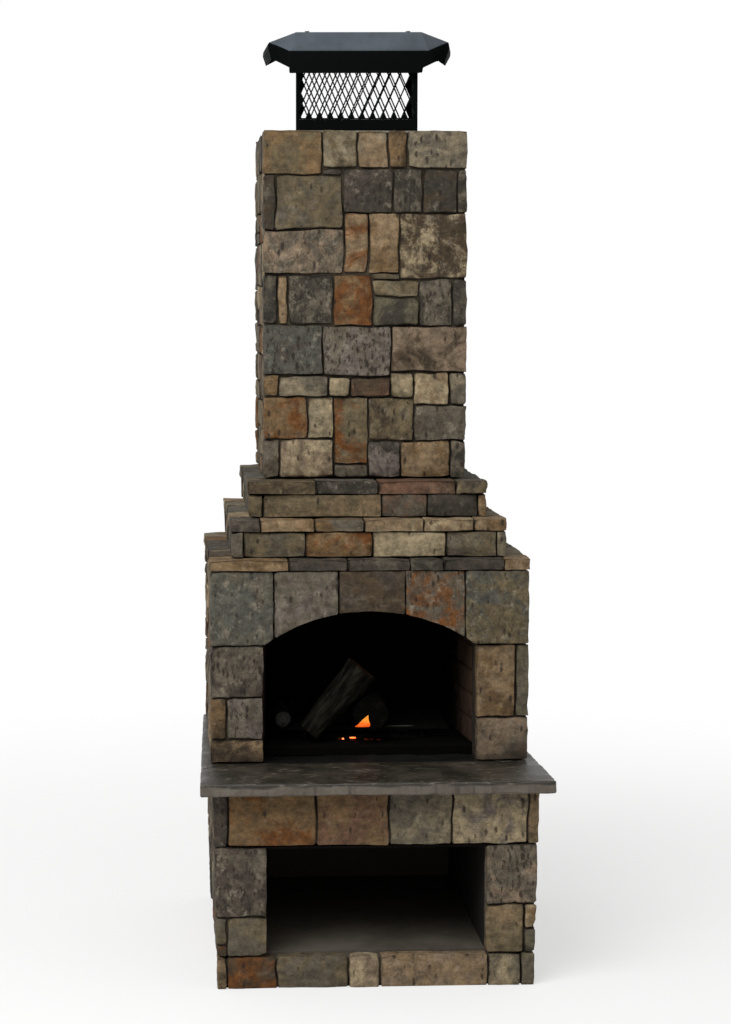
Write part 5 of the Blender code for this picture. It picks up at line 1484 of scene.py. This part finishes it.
class FIREPLACE_OT_tiers(bpy.types.Operator):
    """Lays the stepped tiers between the firebox and the chimney"""

    bl_idname = "fireplace.tiers"
    bl_label = "Stepped tiers"

    def execute(self, context):
        lay_ring("shoulder_cap", SHOULDER_SHARES, 51, CAP_SLAB_DEPTH, True)
        lay_ring("middle_tier_wall", MIDDLE_WALL_SHARES, 52, VENEER, False)
        lay_ring("middle_tier_cap", MIDDLE_CAP_SHARES, 53, CAP_SLAB_DEPTH, True)
        lay_ring("upper_tier_wall", UPPER_WALL_SHARES, 54, VENEER, False)
        lay_ring("upper_tier_cap", UPPER_CAP_SHARES, 55, CAP_SLAB_DEPTH, True)
        return {"FINISHED"}


class FIREPLACE_OT_chimney(bpy.types.Operator):
    """Lays the chimney's four faces"""

    bl_idname = "fireplace.chimney"
    bl_label = "Chimney stonework"

    def execute(self, context):
        low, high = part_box("chimney_front_veneer")
        width, height = high.x - low.x, high.z - low.z
        cells = shared_cells(width, height, CHIMNEY_FRONT_SHARES)
        place = (0.0, high.y, low.z)
        panel = lay_panel("chimney_front_stones", width, height, cells, 61, place, open_ends=True)
        settle(panel, "masonry", "fieldstone", "chimney_front_veneer")
        face_panels("chimney", width, high.y - VENEER, low.z, height, 63)
        return {"FINISHED"}


class FIREPLACE_OT_cap(bpy.types.Operator):
    """Folds the lid of the chimney cap and paints the cap"""

    bl_idname = "fireplace.cap"
    bl_label = "Chimney cap"

    def execute(self, context):
        for name in ("base_band", "screen_front", "screen_right", "screen_back", "screen_left", "frame"):
            dress("cap_" + name, finish_of("paint"))
        for name in ("front_left", "front_right", "back_left", "back_right"):
            dress("cap_bolt_" + name, finish_of("steel"))
        self.fold_lid(context.scene.fireplace_cap)
        return {"FINISHED"}

    def lid_places(self, values):
        """Sixteen places on each of the lid's rings: its crease, its rim, its skirt's waist and foot.

        Each corner has the end of its flap, the start and middle of its pinched fold, and its wing's tip.
        """
        x, y = FLUE_CENTRE.x + values.shift, FLUE_CENTRE.y
        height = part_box("cap_lid")[1].z
        top = values.top_width / 2
        wing_end = values.side_length / 2 - values.side_out
        tucks = ((0.0, 0.0), LID_START_TUCK, LID_MIDDLE_TUCK, (values.ear_tuck, 0.0))
        front = (values.front_skirt, values.side_out, LID_FRONT_SKIRT_SHARES, LID_FRONT_PINCH_SHARES)
        back = (values.back_skirt, values.back_out, LID_BACK_SKIRT_SHARES, LID_BACK_PINCH_SHARES)
        rings = [[], [], [], []]
        for side_x, side_y in ((1, 1), (-1, 1), (-1, -1), (1, -1)):
            skirt, wing_out, skirt_shares, pinch_shares = front if side_y < 0 else back
            flap = Vector((x + side_x * values.front_width / 2, y + side_y * (top + values.front_out),
                           height - values.front_drop))
            wing = Vector((x + side_x * (top + wing_out), y + side_y * wing_end, height - values.side_drop))
            crease = Vector((x + side_x * top, y + side_y * top, height))
            pinch = values.pinch if side_x > 0 else 0.0
            corner = []
            for index, fold in enumerate(LID_FOLD_SHARES):
                rim = flap.lerp(wing, fold)
                tuck_x, tuck_y = tucks[index]
                drop = (skirt if index < 2 else values.ear_skirt) * skirt_shares[index]
                foot = rim - Vector((side_x * tuck_x + pinch * pinch_shares[index], side_y * tuck_y, drop))
                bulge = side_x * LID_BULGE * LID_BULGE_SHARES[index]
                waist = rim.lerp(foot, LID_WAIST_SHARES[index]) + Vector((bulge, 0.0, 0.0))
                corner.append((crease, rim, waist, foot))
            if side_x * side_y > 0:
                corner.reverse()
            for spots in corner:
                for ring, spot in zip(rings, spots):
                    ring.append(spot)
        pivot = Matrix.Translation((FLUE_CENTRE.x, FLUE_CENTRE.y, 0.0))
        turn = pivot @ Matrix.Rotation(-values.turn, 4, "Z") @ pivot.inverted()
        return [[turn @ spot for spot in ring] for ring in rings]

    def fold_lid(self, values):
        """The lid is one sheet: a flat top, four flaps, a pinched fold at each corner and a hanging skirt."""
        clear_selection()
        bpy.ops.mesh.primitive_circle_add(vertices=LID_SPOTS, radius=LID_RADIUS, fill_type="NGON")
        lid = bpy.context.object
        edit_all()
        for _ in range(LID_RINGS):
            bpy.ops.mesh.inset(thickness=LID_INSET)
        bpy.ops.object.mode_set(mode="OBJECT")
        points = points_of(lid)
        reach = np.linalg.norm(points, axis=1)
        order = np.arctan2(points[:, 1], points[:, 0]) / (2 * math.pi) * LID_SPOTS
        order = np.round(order).astype(int) % LID_SPOTS
        levels = sum((reach > LID_RADIUS - LID_INSET * (ring + 0.5)).astype(int) for ring in range(LID_RINGS))
        rings = self.lid_places(values)
        set_points(lid, np.array([rings[level][index] for level, index in zip(levels, order)]))
        choose(lid)
        edit_all()
        bpy.ops.mesh.remove_doubles(threshold=LID_WELD)
        bpy.ops.mesh.normals_make_consistent(inside=False)
        bpy.ops.object.mode_set(mode="OBJECT")
        if sum(face.normal.z * face.area for face in lid.data.polygons) < 0:
            lid.data.flip_normals()
        fold = lid.modifiers.new("fold", "BEVEL")
        fold.width = LID_FOLD
        fold.segments = LID_FOLD_STEPS
        fold.limit_method = "ANGLE"
        fold.angle_limit = math.radians(LID_FOLD_ANGLE)
        solid = lid.modifiers.new("sheet", "SOLIDIFY")
        solid.thickness = values.sheet
        solid.offset = -1.0
        solid.use_even_offset = True
        for name in ("fold", "sheet"):
            bpy.ops.object.modifier_apply(modifier=name)
        complete(lid, "cap_lid_sheet", finish_of("paint"), LID_ANGLE, "chimney_cap", "black_metal", "cap_lid")


class FIREPLACE_OT_grate(bpy.types.Operator):
    """Gives the log grate its burnt iron"""

    bl_idname = "fireplace.grate"
    bl_label = "Log grate"

    def execute(self, context):
        dress("log_grate", finish_of("iron"))
        return {"FINISHED"}


class FIREPLACE_OT_logs(bpy.types.Operator):
    """Models the three logs"""

    bl_idname = "fireplace.logs"
    bl_label = "Logs"

    def execute(self, context):
        for node, name, finish, seed, *colours in LOGS:
            self.model_log(node, name, bark_material(finish, *colours), seed)
        return {"FINISHED"}

    def model_log(self, node, name, material, seed):
        """A log on the line of its CAD cylinder, with ridged and lumpy bark and rough ends."""
        leaning = node == "log_leaning"
        cylinder = points_of(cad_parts[node])
        centre = cylinder.mean(0)
        axis = np.array((0.0, 1.0, 0.0))
        if leaning:
            axis = np.linalg.svd(cylinder - centre, full_matrices=False)[2][0]
            axis = -axis if axis[2] < 0 else axis
        along = (cylinder - centre) @ axis
        length = along.max() - along.min()
        radius = np.linalg.norm(cylinder - centre - along[:, None] * axis, axis=1).max()
        clear_selection()
        bpy.ops.mesh.primitive_cylinder_add(vertices=LOG_SIDES, radius=radius, depth=length,
                                            end_fill_type="NGON")
        log = bpy.context.object
        bpy.ops.object.mode_set(mode="EDIT")
        for _ in range(END_RINGS):
            select_faces(log, lambda face: len(face.verts) == LOG_SIDES)
            bpy.ops.mesh.inset(thickness=radius * END_RING_SHARE, depth=0.0)
        bpy.ops.object.mode_set(mode="OBJECT")
        slice_across(-length / 2, length / 2, LOG_SLICES)
        points = points_of(log)
        rng = np.random.default_rng(seed)
        reach = np.linalg.norm(points[:, :2], axis=1)
        heading = points * (1, 1, 0) / np.maximum(reach, TINY)[:, None]
        around = np.arctan2(points[:, 1], points[:, 0]) / (2 * math.pi) * radius * BARK_ROUND
        side = np.clip(reach / radius, 0, 1) ** RELIEF_POWER
        end = (np.abs(points[:, 2]) > length / 2 - TOUCH).astype(float)
        bark = ripples(points * (1, 1, BARK_STRETCH_SHARE), radius * BARK_WAVE_SHARE, rng) + BARK_LEVEL
        lump = ripples(points, radius * LUMP_WAVE_SHARE, rng) + 1.0
        relief = (bark * BARK_RELIEF_SHARE + lump * LUMP_RELIEF_SHARE) * radius * side
        points = points - heading * relief[:, None]
        rough = ripples(points * (1, 1, 0), radius * END_WAVE_SHARE, rng) + BARK_LEVEL
        points[:, 2] -= np.sign(points[:, 2]) * end * rough * radius * END_RELIEF_SHARE
        on_end = end * (reach < radius * END_FACE_SHARE)
        write_vectors(log, "log_place", np.column_stack((points[:, 2], around, on_end)))
        write_vectors(log, "end_place", np.column_stack((reach, reach, reach)))
        if leaning:
            points[:, :2] *= (1.0 + WEDGE_SHARE * points[:, 2] / length)[:, None]
        turn = Vector((0, 0, 1)).rotation_difference(Vector(axis)).to_matrix()
        set_points(log, points @ np.array(turn).T + centre)
        complete(log, name, material, LOG_ANGLE, "loaded_grate", "log_wood", node)


class FIREPLACE_OT_fire(bpy.types.Operator):
    """Heaps the ash, lays the embers before it and lights the flame"""

    bl_idname = "fireplace.fire"
    bl_label = "Ash, embers and flame"

    def execute(self, context):
        values = context.scene.fireplace_fire
        self.heap_ash()
        self.lay_embers(values)
        self.light_flame(values)
        return {"FINISHED"}

    def heap_ash(self):
        """A low uneven heap in the place of the ash bed."""
        low, high = (np.array(corner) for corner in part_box("ash_bed"))
        ash = grid_cube(ASH_CUTS)
        shape = points_of(ash)
        rng = np.random.default_rng(91)
        points = low + (shape + 1) / 2 * (high - low)
        level, swell, grain = ASH_RISE_SHARES
        mound = level + swell * ripples(points, ASH_WAVE, rng) + grain * ripples(points, ASH_FINE_WAVE, rng)
        edge = 1 - np.abs(shape[:, :2]) ** ASH_EDGE_POWER
        mound *= edge[:, 0] * edge[:, 1]
        rise = (shape[:, 2] + 1) / 2 * np.clip(mound, ASH_LEAST_SHARE, 1.0)
        points[:, 2] = low[2] + rise * (high[2] - low[2])
        set_points(ash, points)
        complete(ash, "ash_heap", finish_of("ash"), SOFT_ANGLE, "masonry", "ash", "ash_bed")

    def lay_embers(self, values):
        """Glowing coals on the bricks before the ash: two hot ones and a few that are going out."""
        ground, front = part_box("firebrick_floor")[1].z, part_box("ash_bed")[0].y
        hot = glow_material("ember_glow", values.ember, values.ember_top, values.hot_strength, ground,
                            ground + EMBER_TOP)
        dim = glow_material("ember_fading", values.ember, values.ember, values.dim_strength, ground,
                            ground + EMBER_TOP)
        rng = np.random.default_rng(92)
        pattern = model_pattern(EMBER_CUTS, False)
        for name, spots, glow in (("embers_hot", HOT_EMBERS, hot), ("embers_fading", FADING_EMBERS, dim)):
            coals = []
            for x, forward, half, rise in spots:
                low = (x - half, front - forward - EMBER_HALF_DEPTH, ground + GAP)
                high = (x + half, front - forward + EMBER_HALF_DEPTH, ground + rise)
                coals.append(lay_stone(pattern, low, high, [(0, 0, 1), (0, -1, 0)], EMBER_FINISH, rng,
                                       EMBER_RADIUS, EMBER_ROUGHNESS_SHARE))
            complete(join(name, coals), name, glow, SLAB_ANGLE, "masonry", "ash")
        bpy.data.objects.remove(pattern)

    def light_flame(self, values):
        """One low flame: an upright right edge and a long left slope that meet in a point."""
        x, forward = FLAME_PLACE
        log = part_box("log_right")[0]
        base, height, width = log.z + FLAME_LIFT, values.flame_height, values.flame_width
        glow = glow_material("flame_glow", values.flame_root, values.flame_tip, values.flame_strength,
                             base + FLAME_ROOT, base + height * FLAME_TIP_SHARE)
        clear_selection()
        bpy.ops.mesh.primitive_cone_add(vertices=FLAME_SIDES, radius1=width / 2, radius2=0.0, depth=height,
                                        location=(0, 0, height / 2))
        bpy.ops.object.transform_apply(location=True, rotation=True, scale=True)
        flame = bpy.context.object
        slice_across(0.0, height, FLAME_SLICES)
        points = points_of(flame)
        share = np.clip(points[:, 2] / height, 0.0, 1.0)
        points[:, 0] += (width / 2 - FLAME_EDGE) * share
        points[:, 0] += FLAME_SWAY * np.sin(share * FLAME_SWAY_TURN) * (1.0 - share)
        points[:, 1] *= FLAME_DEPTH_SHARE
        set_points(flame, points + (x, log.y + forward, base))
        complete(flame, "flame", glow, SOFT_ANGLE, "loaded_grate", "ash")


class FIREPLACE_PT_panel(bpy.types.Panel):
    """Lists the fireplace's pieces in the sidebar"""

    bl_label = "Fireplace"
    bl_space_type = "VIEW_3D"
    bl_region_type = "UI"
    bl_category = "Fireplace"

    def draw(self, context):
        for name in PIECE_ORDER:
            self.layout.operator(f"fireplace.{name}")
        for group in ("stage", "cap", "fire"):
            settings = getattr(context.scene, f"fireplace_{group}")
            box = self.layout.box()
            for name in settings.__annotations__:
                box.prop(settings, name)


PIECE_ORDER = (
    "stage", "cores", "base", "hearth", "firebox", "firebrick", "tiers", "chimney", "cap", "grate", "logs",
    "fire",
)
CLASSES = (
    StageSettings, CapSettings, FireSettings,
    FIREPLACE_OT_stage, FIREPLACE_OT_cores, FIREPLACE_OT_base, FIREPLACE_OT_hearth, FIREPLACE_OT_firebox,
    FIREPLACE_OT_firebrick, FIREPLACE_OT_tiers, FIREPLACE_OT_chimney, FIREPLACE_OT_cap, FIREPLACE_OT_grate,
    FIREPLACE_OT_logs, FIREPLACE_OT_fire, FIREPLACE_PT_panel,
)


def register():
    for each in CLASSES:
        bpy.utils.register_class(each)
    bpy.types.Scene.fireplace_stage = PointerProperty(type=StageSettings)
    bpy.types.Scene.fireplace_cap = PointerProperty(type=CapSettings)
    bpy.types.Scene.fireplace_fire = PointerProperty(type=FireSettings)


def unregister():
    for name in ("fireplace_fire", "fireplace_cap", "fireplace_stage"):
        delattr(bpy.types.Scene, name)
    for each in reversed(CLASSES):
        bpy.utils.unregister_class(each)


def main():
    register()
    for name in PIECE_ORDER:
        getattr(bpy.ops.fireplace, name)()
    clear_selection()
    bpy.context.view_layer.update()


if __name__ == "__main__":
    main()
